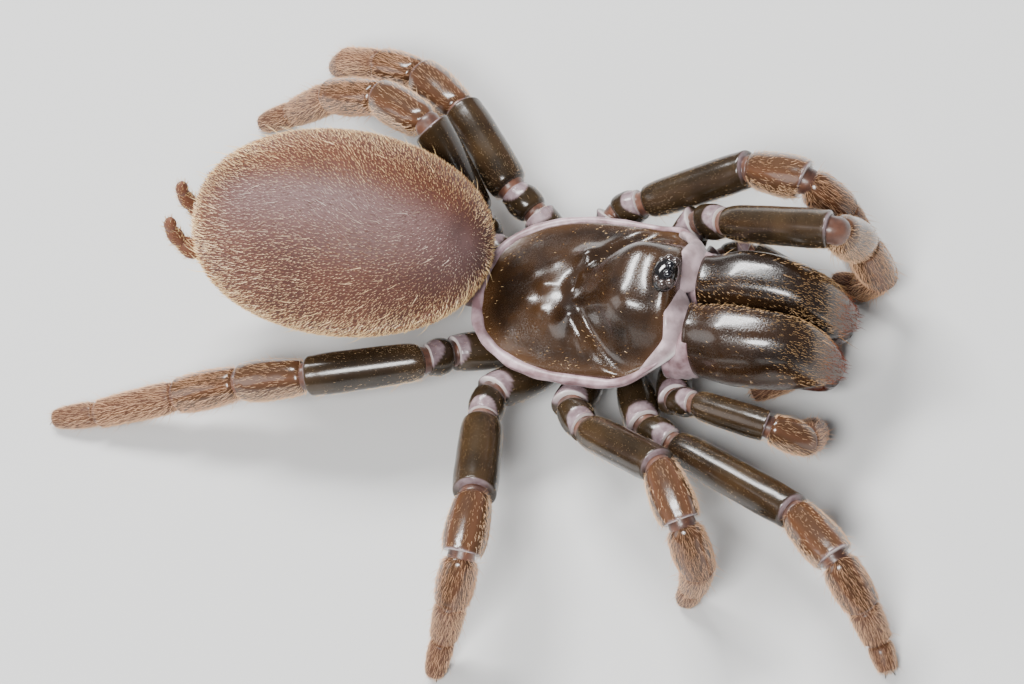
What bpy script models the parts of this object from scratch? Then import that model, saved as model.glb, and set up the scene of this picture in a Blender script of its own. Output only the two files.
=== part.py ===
# A female purseweb spider, life size, standing still on eight legs.
# The frame is +X to the head, +Y to the spider's left, +Z up, with the floor at z = 0.
# Lengths here are millimetres and angles are degrees; every vertex is scaled to metres.
import math

import bmesh
import bpy
from mathutils import Matrix, Vector

MM = 0.001
GAP = 0.3

# Carapace: a shield with a high, broad head part and a low, flat rear part.
CARAPACE_LENGTH = 6.1
CARAPACE_HALF_WIDTH = 2.46
CARAPACE_MIDDLE_X = 3.05
FRONT_BLUNTNESS = 3.8
REAR_BLUNTNESS = 2.7
REAR_NARROWING = 0.1
MARGIN_Z = 2.95
FRONT_MARGIN_LIFT = 0.75
FRONT_LIFT_FROM_X = 1.2
MARGIN_THICKNESS = 0.3
THORAX_RISE = 0.75
HEAD_RISE = 1.3
HEAD_FROM_X = -0.5
HEAD_FULL_X = 1.9
REAR_STEEPNESS = 2.6
FRONT_STEEPNESS = 7.6
UNDERSIDE_DROP = 0.45
# The grooves run from the pit in the middle out to the front corners, as a V; x is from the
# shield's middle.
FOVEA_X = 0.0
FOVEA_SIZE = (0.25, 0.5)
FOVEA_DEPTH = 0.22
HEAD_REAR_HALF_WIDTH = 0.45
HEAD_SPREAD = 1.0
HEAD_SIDE_FROM = 0.08
HEAD_SIDE_TO = 1.02
GROOVE_WIDTH = 0.32
GROOVE_DEPTH = 0.16
SIDE_BULGE = (-0.25, 0.85)
SIDE_BULGE_SIZE = (0.42, 0.38)
SIDE_BULGE_RISE = 0.22
REAR_HUMP_X = -1.5
REAR_HUMP_SIZE = (0.4, 0.45)
REAR_HUMP_RISE = 0.1

# Abdomen: an egg carried level behind the carapace.
ABDOMEN_LENGTH = 8.9
ABDOMEN_HALF_WIDTH = 3.05
ABDOMEN_HALF_HEIGHT = 2.8
ABDOMEN_ROUNDNESS = 0.9
ABDOMEN_REAR_FULLNESS = 0.03
ABDOMEN_MIDDLE = Vector((-4.1, 0.3, 4.45))

# Chelicerae: two heavy, humped jaws side by side.
JAW_START_X = 6.45
JAW_LENGTH = 4.3
JAW_HALF_WIDTH = 0.92
JAW_PAIR_Y = -0.1
JAW_BOTTOM_Z = 1.8
JAW_TOP_Z = 4.66
JAW_BASE_DROP = 0.5
JAW_FRONT_DROP = 1.95
JAW_FRONT_LIFT = 0.25
JAW_HUMP_SHARE = 0.3
JAW_BLUNT_SHARE = 0.75
JAW_SQUARENESS = 2.5
JAW_BASE_NARROWING = 0.14
JAW_FRONT_NARROWING = 0.26

# Legs: where each coxa starts beside the sternum, and the length of each segment in order:
# coxa, trochanter, femur, patella, tibia, metatarsus, tarsus.
LEG_START = {
    "1": (4.4, 1.42, 1.35),
    "2": (3.2, 1.5, 1.1),
    "3": (2.0, 1.5, 1.28),
    "4": (0.95, 0.95, 1.35),
    "palp": (5.5, 0.82, 1.15),
}
LEG_LENGTHS = {
    "1": (2.35, 1.1, 4.5, 2.3, 1.6, 1.5, 0.9),
    "2": (2.1, 1.0, 3.4, 2.1, 1.6, 1.6, 1.1),
    "3": (2.25, 1.0, 2.95, 2.1, 1.5, 1.75, 1.25),
    "4": (2.0, 0.95, 3.4, 2.3, 2.15, 2.7, 1.5),
    "palp": (2.1, 0.9, 2.5, 1.3, 1.35, 1.35),
}
# Half thickness of each segment at its fullest.
LEG_RADII = {
    "1": (0.5, 0.44, 0.48, 0.52, 0.48, 0.41, 0.34),
    "2": (0.5, 0.44, 0.48, 0.52, 0.48, 0.41, 0.34),
    "3": (0.5, 0.45, 0.56, 0.52, 0.47, 0.4, 0.34),
    "4": (0.5, 0.45, 0.51, 0.5, 0.48, 0.42, 0.35),
    "palp": (0.45, 0.36, 0.39, 0.4, 0.4, 0.35),
}
# The pose: for each segment, how far it turns outwards from straight ahead on its own side,
# and how steeply it rises. The last segment has no rise of its own: it reaches the floor.
POSE = {
    "leg_1_right": ((61, 20), (27, 6), (23.5, 5), (42, 15), (44, -50), (49, -74), (60,)),
    "leg_2_right": ((88, 38), (46, 8), (27.5, 21), (56, 7), (61, -62), (200, -71), (180,)),
    "leg_3_right": ((124, 32), (86, 12), (76, 15), (82, 10), (108, -49), (146, -69), (110,)),
    "leg_4_right": ((153, 20), (125, 37), (162, 2), (177, -18), (170, -18), (169, -18), (172,)),
    "leg_1_left": ((58, 32), (-12, 27), (-14, 28), (80, -68), (-20, -78), (165, -55), (170,)),
    "leg_2_left": ((104, 22), (14, 25), (18.5, 16), (-15, 19), (-7, -56), (-7, -80), (175,)),
    "leg_3_left": ((134, 17), (148, 13), (134, 10), (144, -10), (164, -12), (160, -30), (160,)),
    "leg_4_left": ((148, 11), (122, -7), (134, 60), (151, -15), (168, -27), (166, -48), (182,)),
    "palp_right": ((69, 32), (17, 29), (15, 10), (-12, -46), (-101, -50), (-149,)),
    "palp_left": ((80, -3), (20, -5), (-22, -5), (-75, -13), (-115, -3), (-150,)),
}
LIMB_SIDES = 10
FEMUR_DEPTH = 1.06
TIP_SHARE = 0.62
# The steepest that a last segment may reach down or up to the floor, as a sine.
STEEPEST_REACH = (-0.98, 0.2)
# The share of a foot's tip that stands above the floor: the rest is cut to a small flat.
FOOT_SINK = 0.9

MATERIALS = {
    "shell": ((0.045, 0.026, 0.015), 0.25),
    "jaw": ((0.020, 0.011, 0.009), 0.18),
    "abdomen_skin": ((0.16, 0.075, 0.050), 0.75),
    "leg_shell": ((0.055, 0.032, 0.018), 0.3),
    "leg_fur": ((0.20, 0.080, 0.035), 0.6),
    "soft_skin": ((0.42, 0.25, 0.24), 0.5),
    "eye": ((0.004, 0.004, 0.005), 0.05),
}


def material(slot):
    """The Principled material of one slot, made once."""
    found = bpy.data.materials.get(slot)
    if found:
        return found
    colour, roughness = MATERIALS[slot]
    made = bpy.data.materials.new(slot)
    made.use_nodes = True
    shader = made.node_tree.nodes["Principled BSDF"]
    shader.inputs["Base Color"].default_value = (*colour, 1.0)
    shader.inputs["Roughness"].default_value = roughness
    return made


def add_object(name, mesh_data, slot):
    """A finished bmesh as a named object at the origin, shaded smooth."""
    bmesh.ops.recalc_face_normals(mesh_data, faces=mesh_data.faces)
    mesh = bpy.data.meshes.new(name)
    mesh_data.to_mesh(mesh)
    mesh_data.free()
    mesh.materials.append(material(slot))
    mesh.shade_smooth()
    mesh.set_sharp_from_angle(angle=math.radians(40))
    made = bpy.data.objects.new(name, mesh)
    bpy.context.collection.objects.link(made)
    return made


def skin_rings(name, rings, slot):
    """One closed solid through rings of points, each end closed by a fan to its middle."""
    mesh_data = bmesh.new()
    rows = [[mesh_data.verts.new(point * MM) for point in ring] for ring in rings]
    count = len(rings[0])
    for low, high in zip(rows, rows[1:]):
        for i in range(count):
            j = (i + 1) % count
            mesh_data.faces.new((low[i], low[j], high[j], high[i]))
    for row in (rows[0], rows[-1]):
        middle = mesh_data.verts.new(sum((vert.co for vert in row), Vector()) / count)
        for i in range(count):
            mesh_data.faces.new((row[i], row[(i + 1) % count], middle))
    bmesh.ops.triangulate(mesh_data, faces=mesh_data.faces)
    return add_object(name, mesh_data, slot)


# Limbs

def direction(turn, rise, side):
    """A unit vector from an outward turn and a rise, for the left (side 1) or right (-1)."""
    flat = math.cos(math.radians(rise))
    return Vector(
        (
            flat * math.cos(math.radians(turn)),
            side * flat * math.sin(math.radians(turn)),
            math.sin(math.radians(rise)),
        )
    )


def level_side(turn, side):
    """The level direction square to a segment's own turn, to the spider's left of it."""
    return Vector((-side * math.sin(math.radians(turn)), math.cos(math.radians(turn)), 0.0))


def limb_joints(limb):
    """The joints of one limb from its start, and each segment's level side direction."""
    part, hand = limb.rsplit("_", 1)
    kind = part.split("_")[-1]
    side = 1 if hand == "left" else -1
    x, y, z = LEG_START[kind]
    joints = [Vector((x, side * y, z))]
    sides = []
    lengths = LEG_LENGTHS[kind]
    for length, pose in zip(lengths, POSE[limb]):
        turn = pose[0]
        sides.append(level_side(turn, side))
        if len(pose) == 2:
            joints.append(joints[-1] + direction(turn, pose[1], side) * length)
            continue
        tip_radius = LEG_RADII[kind][-1] * TIP_SHARE
        rise = 0.0
        for _ in range(4):
            tip_z = FOOT_SINK * tip_radius * math.cos(math.radians(rise))
            drop = (tip_z - joints[-1].z) / length
            rise = math.degrees(math.asin(max(STEEPEST_REACH[0], min(STEEPEST_REACH[1], drop))))
        joints.append(joints[-1] + direction(turn, rise, side) * length)
    return joints, sides


def ring_points(centre, axis, side, half_width, half_height, plane):
    """A ring round an axis, slid along it so that it lies in the given plane."""
    up = axis.cross(side)
    points = []
    for i in range(LIMB_SIDES):
        angle = 2 * math.pi * (i + 0.5) / LIMB_SIDES
        offset = side * (half_width * math.cos(angle)) + up * (half_height * math.sin(angle))
        points.append(centre + offset - axis * (offset.dot(plane) / axis.dot(plane)))
    return points


def bisector(first, second):
    return (first + second).normalized()


def limb_piece(name, joints, sides, radii, profiles, planes, slot, depth=1.0, bow=0.0):
    """One limb node through its joints, with mitred ends that face the next nodes."""
    axes = [(b - a).normalized() for a, b in zip(joints, joints[1:])]
    rings = []
    for i, axis in enumerate(axes):
        start, end = joints[i], joints[i + 1]
        first = i == 0
        last = i == len(axes) - 1
        start_plane = planes[0] if first else bisector(axes[i - 1], axis)
        end_plane = planes[1] if last else bisector(axis, axes[i + 1])
        if first:
            start = start + axis * (GAP / 2 / axis.dot(start_plane))
        if last and planes[2]:
            end = end - axis * (GAP / 2 / axis.dot(end_plane))
        up = axis.cross(sides[i])
        for share, scale in profiles[i]:
            if share == 0.0 and not first:
                continue
            if share == 0.0:
                plane = start_plane
            elif share == 1.0:
                plane = end_plane
            else:
                plane = axis
            centre = start.lerp(end, share) + up * (bow * 4 * share * (1 - share))
            width = radii[i] * scale
            rings.append(ring_points(centre, axis, sides[i], width, width * depth, plane))
    return skin_rings(name, rings, slot)


COXA_PROFILE = ((0.0, 0.7), (0.3, 0.95), (0.7, 1.0), (1.0, 0.86))
TROCHANTER_PROFILE = ((0.0, 0.92), (0.5, 1.05), (1.0, 0.85))
FEMUR_PROFILE = ((0.0, 0.8), (0.22, 0.96), (0.5, 1.03), (0.8, 1.0), (1.0, 0.82))
PATELLA_PROFILE = ((0.0, 0.8), (0.3, 1.0), (0.65, 1.04), (1.0, 0.84))
TIBIA_PROFILE = ((0.0, 0.86), (0.35, 1.03), (0.7, 1.0), (1.0, 0.82))
METATARSUS_PROFILE = ((0.0, 0.85), (0.35, 1.0), (0.7, 0.96), (1.0, 0.88))
TARSUS_PROFILE = ((0.0, 0.9), (0.35, 1.0), (0.75, 0.92), (1.0, TIP_SHARE))


def add_limb(limb):
    """The nodes of one leg or palp: coxa, femur, tibia and tarsus."""
    kind = limb.rsplit("_", 1)[0].split("_")[-1]
    radii = LEG_RADII[kind]
    joints, sides = limb_joints(limb)
    axes = [(b - a).normalized() for a, b in zip(joints, joints[1:])]
    planes = [axes[0]] + [bisector(a, b) for a, b in zip(axes, axes[1:])] + [axes[-1]]

    def piece(part, first, last, profiles, slot, depth=1.0, bow=0.0):
        ends = (planes[first], planes[last], last < len(axes))
        limb_piece(
            f"{limb}_{part}", joints[first:last + 1], sides[first:last], radii[first:last],
            profiles, ends, slot, depth, bow,
        )

    piece("coxa", 0, 1, (COXA_PROFILE,), "leg_shell")
    piece("femur", 1, 3, (TROCHANTER_PROFILE, FEMUR_PROFILE), "leg_shell", depth=FEMUR_DEPTH)
    piece("tibia", 3, 5, (PATELLA_PROFILE, TIBIA_PROFILE), "leg_shell")
    if kind == "palp":
        piece("tarsus", 5, 6, (TARSUS_PROFILE,), "leg_fur")
    else:
        piece("tarsus", 5, 7, (METATARSUS_PROFILE, TARSUS_PROFILE), "leg_fur")


def rest_on_floor(made):
    """Flatten what reaches below the floor, so that a foot ends in a small level flat."""
    for vert in made.data.vertices:
        vert.co.z = max(vert.co.z, 0.0)


# Carapace

def smooth_step(low, high, value):
    share = max(0.0, min(1.0, (value - low) / (high - low)))
    return share * share * (3 - 2 * share)


def carapace_edge(angle):
    """The outline as a point for an angle from straight ahead: blunt in front, narrower behind."""
    c, s = math.cos(angle), math.sin(angle)
    power = FRONT_BLUNTNESS if c > 0 else REAR_BLUNTNESS
    reach = (abs(c) ** power + abs(s) ** power) ** (-1 / power)
    x = CARAPACE_LENGTH / 2 * reach * c
    narrow = 1.0 - REAR_NARROWING * smooth_step(0.0, -CARAPACE_LENGTH / 2, x)
    y = CARAPACE_HALF_WIDTH * reach * s * narrow
    return Vector((x, y))


def margin_height(x):
    """The margin is level behind and lifts over the jaws in front."""
    return MARGIN_Z + FRONT_MARGIN_LIFT * smooth_step(FRONT_LIFT_FROM_X, CARAPACE_LENGTH / 2, x)


def bump_share(x, y, size):
    """How full a round bump is at a place from its middle: 1 there, fading out over its size."""
    return math.exp(-(x / size[0]) ** 2 - (y / size[1]) ** 2)


def carapace_top(x, y, out):
    """The top surface; x is from the middle, and out is 0 in the middle and 1 at the edge."""
    steep = REAR_STEEPNESS + (FRONT_STEEPNESS - REAR_STEEPNESS) * smooth_step(-0.5, 2.0, x)
    dome = math.sqrt(max(0.0, 1.0 - out ** steep))
    forward = smooth_step(HEAD_FROM_X, HEAD_FULL_X, x)
    groove_y = HEAD_REAR_HALF_WIDTH + HEAD_SPREAD * max(0.0, x - FOVEA_X)
    head = HEAD_RISE * forward * smooth_step(HEAD_SIDE_TO, HEAD_SIDE_FROM, abs(y) / groove_y)
    aside = (abs(y) - groove_y) / GROOVE_WIDTH
    fade = smooth_step(FOVEA_X - 0.3, FOVEA_X + 0.3, x)
    groove = GROOVE_DEPTH * math.exp(-aside * aside) * fade
    fovea = FOVEA_DEPTH * bump_share(x - FOVEA_X, y, FOVEA_SIZE)
    bulge = SIDE_BULGE_RISE * bump_share(x - SIDE_BULGE[0], abs(y) - SIDE_BULGE[1], SIDE_BULGE_SIZE)
    bulge += REAR_HUMP_RISE * bump_share(x - REAR_HUMP_X, y, REAR_HUMP_SIZE)
    margin = margin_height(x)
    full = MARGIN_Z + THORAX_RISE + head + bulge - groove - fovea
    return margin + dome * (full - margin)


def add_carapace():
    around, out_steps = 64, 20
    mesh_data = bmesh.new()
    middle = Vector((CARAPACE_MIDDLE_X, 0.0))
    lowest = MARGIN_Z - MARGIN_THICKNESS - UNDERSIDE_DROP

    def point(edge, share, z):
        flat = middle + edge * share
        return Vector((flat.x, flat.y, z)) * MM

    edges = [carapace_edge(2 * math.pi * i / around) for i in range(around)]
    top = mesh_data.verts.new(point(Vector((0, 0)), 0, carapace_top(0, 0, 0)))
    below = mesh_data.verts.new(point(Vector((0, 0)), 0, lowest))
    rows = []
    for step in range(1, out_steps + 1):
        out = (step / out_steps) ** 0.8
        rows.append([
            mesh_data.verts.new(point(e, out, carapace_top(e.x * out, e.y * out, out)))
            for e in edges
        ])
    for out, drop in ((0.97, MARGIN_THICKNESS), (0.6, MARGIN_THICKNESS + UNDERSIDE_DROP)):
        rows.append([
            mesh_data.verts.new(point(e, out, margin_height(e.x * out) - drop))
            for e in edges
        ])
    for a, b in zip(rows, rows[1:]):
        for i in range(around):
            j = (i + 1) % around
            mesh_data.faces.new((a[i], a[j], b[j], b[i]))
    for i in range(around):
        j = (i + 1) % around
        mesh_data.faces.new((top, rows[0][i], rows[0][j]))
        mesh_data.faces.new((below, rows[-1][j], rows[-1][i]))
    bmesh.ops.triangulate(mesh_data, faces=mesh_data.faces)
    add_object("carapace", mesh_data, "shell")


# Abdomen

def add_abdomen():
    around, along = 24, 14
    rings = []
    for step in range(1, along):
        angle = math.pi * step / along
        x = ABDOMEN_LENGTH / 2 * math.cos(angle)
        full = math.sin(angle) ** ABDOMEN_ROUNDNESS
        full *= 1.0 - ABDOMEN_REAR_FULLNESS * math.cos(angle)
        ring = []
        for i in range(around):
            turn = 2 * math.pi * i / around
            y = ABDOMEN_HALF_WIDTH * full * math.cos(turn)
            z = ABDOMEN_HALF_HEIGHT * full * math.sin(turn)
            ring.append(ABDOMEN_MIDDLE + Vector((x, y, z)))
        rings.append(ring)
    skin_rings("abdomen", rings, "abdomen_skin")


# Chelicerae and fangs

def jaw_section(share):
    """Middle height, half height, half width and blunting of a jaw at a share of its length."""
    top = JAW_TOP_Z - JAW_BASE_DROP * (1 - smooth_step(0.0, JAW_HUMP_SHARE, share))
    top -= JAW_FRONT_DROP * smooth_step(JAW_HUMP_SHARE, 1.0, share)
    bottom = JAW_BOTTOM_Z + JAW_FRONT_LIFT * smooth_step(0.6, 1.0, share)
    near_front = max(0.0, (share - JAW_BLUNT_SHARE) / (1 - JAW_BLUNT_SHARE))
    blunt = math.sqrt(1 - 0.9 * near_front ** 2)
    narrow = JAW_BASE_NARROWING * (1 - smooth_step(0.0, JAW_HUMP_SHARE, share))
    narrow += JAW_FRONT_NARROWING * smooth_step(JAW_HUMP_SHARE, 1.0, share)
    return (top + bottom) / 2, (top - bottom) / 2 * blunt, JAW_HALF_WIDTH * (1 - narrow), blunt


def add_jaw(hand, side):
    around, along = 16, 11
    rings = []
    for step in range(along + 1):
        share = step / along
        middle_z, half_height, half_width, blunt = jaw_section(share)
        x = JAW_START_X + JAW_LENGTH * share
        ring = []
        for i in range(around):
            turn = 2 * math.pi * i / around
            c, s = math.cos(turn), math.sin(turn)
            reach = abs(c) ** JAW_SQUARENESS + abs(s) ** JAW_SQUARENESS
            reach = reach ** (-1 / JAW_SQUARENESS)
            y = JAW_PAIR_Y + side * (GAP / 2 + half_width) + half_width * blunt * reach * c
            ring.append(Vector((x, y, middle_z + half_height * reach * s)))
        rings.append(ring)
    skin_rings(f"chelicera_{hand}", rings, "jaw")


FANG_BASE = (10.1, 0.78, 1.46)
FANG_REACH = 3.4
FANG_RADIUS = 0.27
FANG_TAPER = 0.75
FANG_INWARD = 0.2
FANG_SAG = 0.3


def add_fang(hand, side):
    """A fang folded back under its jaw, which tapers and sags between its ends."""
    forward, left = Vector((1, 0, 0)), Vector((0, 1, 0))
    x, y, z = FANG_BASE
    rings = []
    steps = 7
    for step in range(steps + 1):
        share = step / steps
        centre = Vector((
            x - FANG_REACH * share,
            JAW_PAIR_Y + side * (y - FANG_INWARD * share),
            z - FANG_SAG * math.sin(math.pi * share),
        ))
        radius = FANG_RADIUS * (1 - FANG_TAPER * share)
        rings.append(ring_points(centre, forward, left, radius, radius, forward))
    skin_rings(f"fang_{hand}", rings, "jaw")


# Sternum, pedicel, eyes and spinnerets

STERNUM_MIDDLE_X = 2.85
STERNUM_HALF_LENGTH = 2.15
STERNUM_HALF_WIDTH = 1.0
STERNUM_REAR_NARROWING = 0.3
# The sternum from below: how wide each level is, and its height.
STERNUM_LEVELS = ((0.7, 0.95), (1.0, 1.15), (1.0, 1.5), (0.8, 1.6))


def add_sternum():
    around = 20
    rings = []
    for share, z in STERNUM_LEVELS:
        ring = []
        for i in range(around):
            turn = 2 * math.pi * i / around
            x = STERNUM_MIDDLE_X + STERNUM_HALF_LENGTH * share * math.cos(turn)
            narrow = 1 - STERNUM_REAR_NARROWING * smooth_step(-0.2, -1.0, math.cos(turn))
            y = STERNUM_HALF_WIDTH * share * narrow * math.sin(turn)
            ring.append(Vector((x, y, z)))
        rings.append(ring)
    skin_rings("sternum", rings, "leg_shell")


def straight_tube(name, start, end, radii, slot):
    """A tube from start to end through evenly spaced radii."""
    axis = (end - start).normalized()
    side = Vector((-axis.y, axis.x, 0.0)).normalized()
    rings = []
    for i, radius in enumerate(radii):
        centre = start.lerp(end, i / (len(radii) - 1))
        rings.append(ring_points(centre, axis, side, radius, radius, axis))
    return skin_rings(name, rings, slot)


PEDICEL_START = Vector((0.47, 0.0, 1.7))
PEDICEL_END = Vector((-0.45, 0.05, 2.1))
PEDICEL_RADII = (0.32, 0.34, 0.32)
EYE_MIDDLE = Vector((5.84, 0.0, 5.27))
EYE_MOUND = (0.36, 0.5, 0.2)
EYE_RISE = 0.09
# Eye places from the mound's middle and their radii, for the left side: two round ones in
# front of the middle, three side eyes close together.
EYES = (((0.1, 0.14), 0.15), ((0.22, 0.36), 0.12), ((0.0, 0.42), 0.12), ((-0.18, 0.3), 0.1))
# Each spinneret rises behind the abdomen: its outward place, then the bends of its middle line.
SPINNERET_Y = {"left": 0.85, "right": -0.35}
SPINNERET_BENDS = ((-8.68, 3.35), (-9.08, 3.9), (-9.17, 4.6), (-8.97, 5.2))
SPINNERET_RADIUS = 0.27
SPINNERET_SHRINK = 0.2
SPINNERET_JOINT = ((0.0, 0.85), (0.5, 1.0), (0.9, 0.85))
SPINNERET_TIP = ((0.0, 0.85), (0.5, 0.9), (1.0, 0.4))


def ball(middle, size):
    """A coarse closed ball, stretched to the given half sizes, as an object of its own."""
    mesh_data = bmesh.new()
    bmesh.ops.create_uvsphere(mesh_data, u_segments=12, v_segments=7, radius=1.0)
    for vert in mesh_data.verts:
        stretched = Vector((vert.co.x * size[0], vert.co.y * size[1], vert.co.z * size[2]))
        vert.co = (middle + stretched) * MM
    bmesh.ops.triangulate(mesh_data, faces=mesh_data.faces)
    return add_object("eye_ball", mesh_data, "eye")


def add_eyes():
    """One low mound with its eight eyes fused on it."""
    mound = ball(EYE_MIDDLE, EYE_MOUND)
    mound.name = "eyes"
    domes = bpy.data.collections.new("eye_domes")
    for side in (1, -1):
        for (forward, out), radius in EYES:
            place = EYE_MIDDLE + Vector((forward, side * out, EYE_RISE))
            dome = ball(place, (radius, radius, radius))
            domes.objects.link(dome)
    union = mound.modifiers.new("eye domes", "BOOLEAN")
    union.operation = "UNION"
    union.operand_type = "COLLECTION"
    union.collection = domes
    union.solver = "EXACT"
    evaluated = mound.evaluated_get(bpy.context.evaluated_depsgraph_get())
    joined = bpy.data.meshes.new_from_object(evaluated)
    mound.modifiers.remove(union)
    mound.data = joined
    for dome in list(domes.objects):
        bpy.data.objects.remove(dome)
    bpy.data.collections.remove(domes)


def add_spinneret(hand):
    """A spinneret of three short joints, narrower where they meet."""
    points = [Vector((x, SPINNERET_Y[hand], z)) for x, z in SPINNERET_BENDS]
    rings = []
    for i, (start, end) in enumerate(zip(points, points[1:])):
        axis = (end - start).normalized()
        tip = i == len(points) - 2
        for share, scale in SPINNERET_TIP if tip else SPINNERET_JOINT:
            radius = SPINNERET_RADIUS * (1.0 - SPINNERET_SHRINK * i) * scale
            centre = start.lerp(end, share)
            rings.append(ring_points(centre, axis, Vector((0, 1, 0)), radius, radius, axis))
    skin_rings(f"spinneret_{hand}", rings, "abdomen_skin")


def centre_on_floor():
    """Move everything level, so that the origin is under the middle of the whole spider."""
    points = [vert.co for made in bpy.data.objects for vert in made.data.vertices]
    shift = Vector((
        -(min(p.x for p in points) + max(p.x for p in points)) / 2,
        -(min(p.y for p in points) + max(p.y for p in points)) / 2,
        0.0,
    ))
    for made in bpy.data.objects:
        made.data.transform(Matrix.Translation(shift))


def build():
    for old in list(bpy.data.objects):
        bpy.data.objects.remove(old)
    add_carapace()
    add_abdomen()
    add_sternum()
    straight_tube("pedicel", PEDICEL_START, PEDICEL_END, PEDICEL_RADII, "soft_skin")
    add_eyes()
    for hand, side in (("left", 1), ("right", -1)):
        add_jaw(hand, side)
        add_fang(hand, side)
        add_spinneret(hand)
    for limb in POSE:
        add_limb(limb)
    for made in bpy.data.objects:
        if made.name.endswith("_tarsus"):
            rest_on_floor(made)
    centre_on_floor()


build()
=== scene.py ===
# A female purseweb spider, life size, as a museum model that stands still on eight legs.
# +X is to the head, +Y to the spider's left and +Z up, with the floor at z = 0.
# Shapes are worked out in millimetres and made in metres.
import math

import bpy
import numpy as np
from mathutils import Matrix, Vector


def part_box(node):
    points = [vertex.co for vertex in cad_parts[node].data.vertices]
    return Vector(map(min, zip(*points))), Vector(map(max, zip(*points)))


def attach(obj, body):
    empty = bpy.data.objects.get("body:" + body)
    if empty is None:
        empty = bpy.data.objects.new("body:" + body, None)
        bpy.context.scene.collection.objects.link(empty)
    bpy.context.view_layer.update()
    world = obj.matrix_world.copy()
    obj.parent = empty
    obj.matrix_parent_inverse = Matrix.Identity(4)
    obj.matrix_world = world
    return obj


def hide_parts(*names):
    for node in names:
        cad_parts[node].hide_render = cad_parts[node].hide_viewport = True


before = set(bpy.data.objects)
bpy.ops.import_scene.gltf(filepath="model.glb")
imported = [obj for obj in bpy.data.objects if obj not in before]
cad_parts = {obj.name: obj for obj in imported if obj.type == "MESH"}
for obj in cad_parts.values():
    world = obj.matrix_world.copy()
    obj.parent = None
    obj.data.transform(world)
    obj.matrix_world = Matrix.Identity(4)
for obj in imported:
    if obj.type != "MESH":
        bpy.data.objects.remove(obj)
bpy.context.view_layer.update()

# Camera
# The picture is taken from above the spider's right shoulder with a long lens, and it is
# turned a little in its own plane, so that the body runs level across it.
MM = 0.001
VIEW_RIGHT = Vector((0.94133, 0.26009, -0.21507))
VIEW_UP = Vector((-0.12334, 0.85830, 0.49810))
VIEW_BACK = Vector((0.31415, -0.44235, 0.84002))
# All places are measured from the rear edge of the spider's shield, on the floor below it.
SHIELD_MIDDLE_X = 3.05
low_corner, high_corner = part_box("carapace")
DRAWING_ORIGIN = Vector((
    (low_corner.x + high_corner.x) / 2 / MM - SHIELD_MIDDLE_X, (low_corner.y + high_corner.y) / 2 / MM, 0.0,
))
LOOK_AT = Vector((0.950, -1.225, 2.100)) + DRAWING_ORIGIN
CAMERA_DISTANCE = 220.0
LENS = 273.8
SENSOR_WIDTH = 36.0
CLIP_IN_METRES = (0.01, 10.0)


def make_camera():
    data = bpy.data.cameras.new("camera")
    data.lens = LENS
    data.sensor_width = SENSOR_WIDTH
    data.clip_start, data.clip_end = CLIP_IN_METRES
    made = bpy.data.objects.new("camera", data)
    bpy.context.scene.collection.objects.link(made)
    turned = Matrix((VIEW_RIGHT, VIEW_UP, VIEW_BACK)).transposed().to_4x4()
    place = (LOOK_AT + VIEW_BACK * CAMERA_DISTANCE) * MM
    made.matrix_world = Matrix.Translation(place) @ turned
    bpy.context.scene.camera = made


make_camera()


# Light
# One large soft box stands behind and above the spider, where the bright streaks on the
# photographed shell point to. A smaller round one lights the near side from above, a weak
# one lights the rear, and the room is pale.
SOFT_BOXES = (
    ("key light", (-52.0, 74.0, 140.0), 96.0, 30.0, 0.46, "RECTANGLE"),
    ("fill light", (20.0, -95.0, 150.0), 70.0, 52.0, 0.42, "ELLIPSE"),
    ("rim light", (-120.0, -60.0, 70.0), 90.0, 90.0, 0.06, "RECTANGLE"),
)
ROOM_COLOUR = (0.85, 0.9, 1.0, 1.0)
ROOM_STRENGTH = 0.22


def soft_box(name, place, width, height, power, shape):
    data = bpy.data.lights.new(name, "AREA")
    data.shape = shape
    data.size = width * MM
    data.size_y = height * MM
    data.energy = power
    made = bpy.data.objects.new(name, data)
    bpy.context.scene.collection.objects.link(made)
    made.location = Vector(place) * MM
    aim = (LOOK_AT - Vector(place)).normalized()
    made.rotation_euler = aim.to_track_quat("-Z", "Y").to_euler()


def make_room():
    room = bpy.data.worlds.new("room")
    bpy.context.scene.world = room
    room.use_nodes = True
    background = room.node_tree.nodes["Background"]
    background.inputs["Color"].default_value = ROOM_COLOUR
    background.inputs["Strength"].default_value = ROOM_STRENGTH


for box in SOFT_BOXES:
    soft_box(*box)
make_room()


# Floor
# A plain pale board that the spider stands on, which isn't part of it.
FLOOR_HALF_SIZE = 1500.0
FLOOR_COLOUR = (0.64, 0.64, 0.63, 1)


def put(tree, kind, values=None, **settings):
    """A node with its settings, its sockets either set or linked."""
    made = tree.nodes.new(kind)
    for name, value in settings.items():
        setattr(made, name, value)
    for socket, value in (values or {}).items():
        if isinstance(value, bpy.types.NodeSocket):
            tree.links.new(value, made.inputs[socket])
        else:
            made.inputs[socket].default_value = value
    return made


def new_material(name, **values):
    """A Principled material, its constants set on the shader's own sockets."""
    made = bpy.data.materials.new(name)
    made.use_nodes = True
    shader = made.node_tree.nodes["Principled BSDF"]
    for socket, value in values.items():
        shader.inputs[socket.replace("_", " ")].default_value = value
    return made, made.node_tree, shader


def wire(tree, shader, **sources):
    """Links to the shader's own sockets, which the names say."""
    for socket, source in sources.items():
        tree.links.new(source, shader.inputs[socket.replace("_", " ")])


def make_floor():
    half = FLOOR_HALF_SIZE * MM
    mesh = bpy.data.meshes.new("floor")
    mesh.from_pydata(
        [(-half, -half, 0), (half, -half, 0), (half, half, 0), (-half, half, 0)],
        [],
        [(0, 1, 2, 3)],
    )
    mesh.materials.append(new_material("board", Base_Color=FLOOR_COLOUR, Roughness=0.8)[0])
    floor = bpy.data.objects.new("floor", mesh)
    bpy.context.scene.collection.objects.link(floor)


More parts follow.
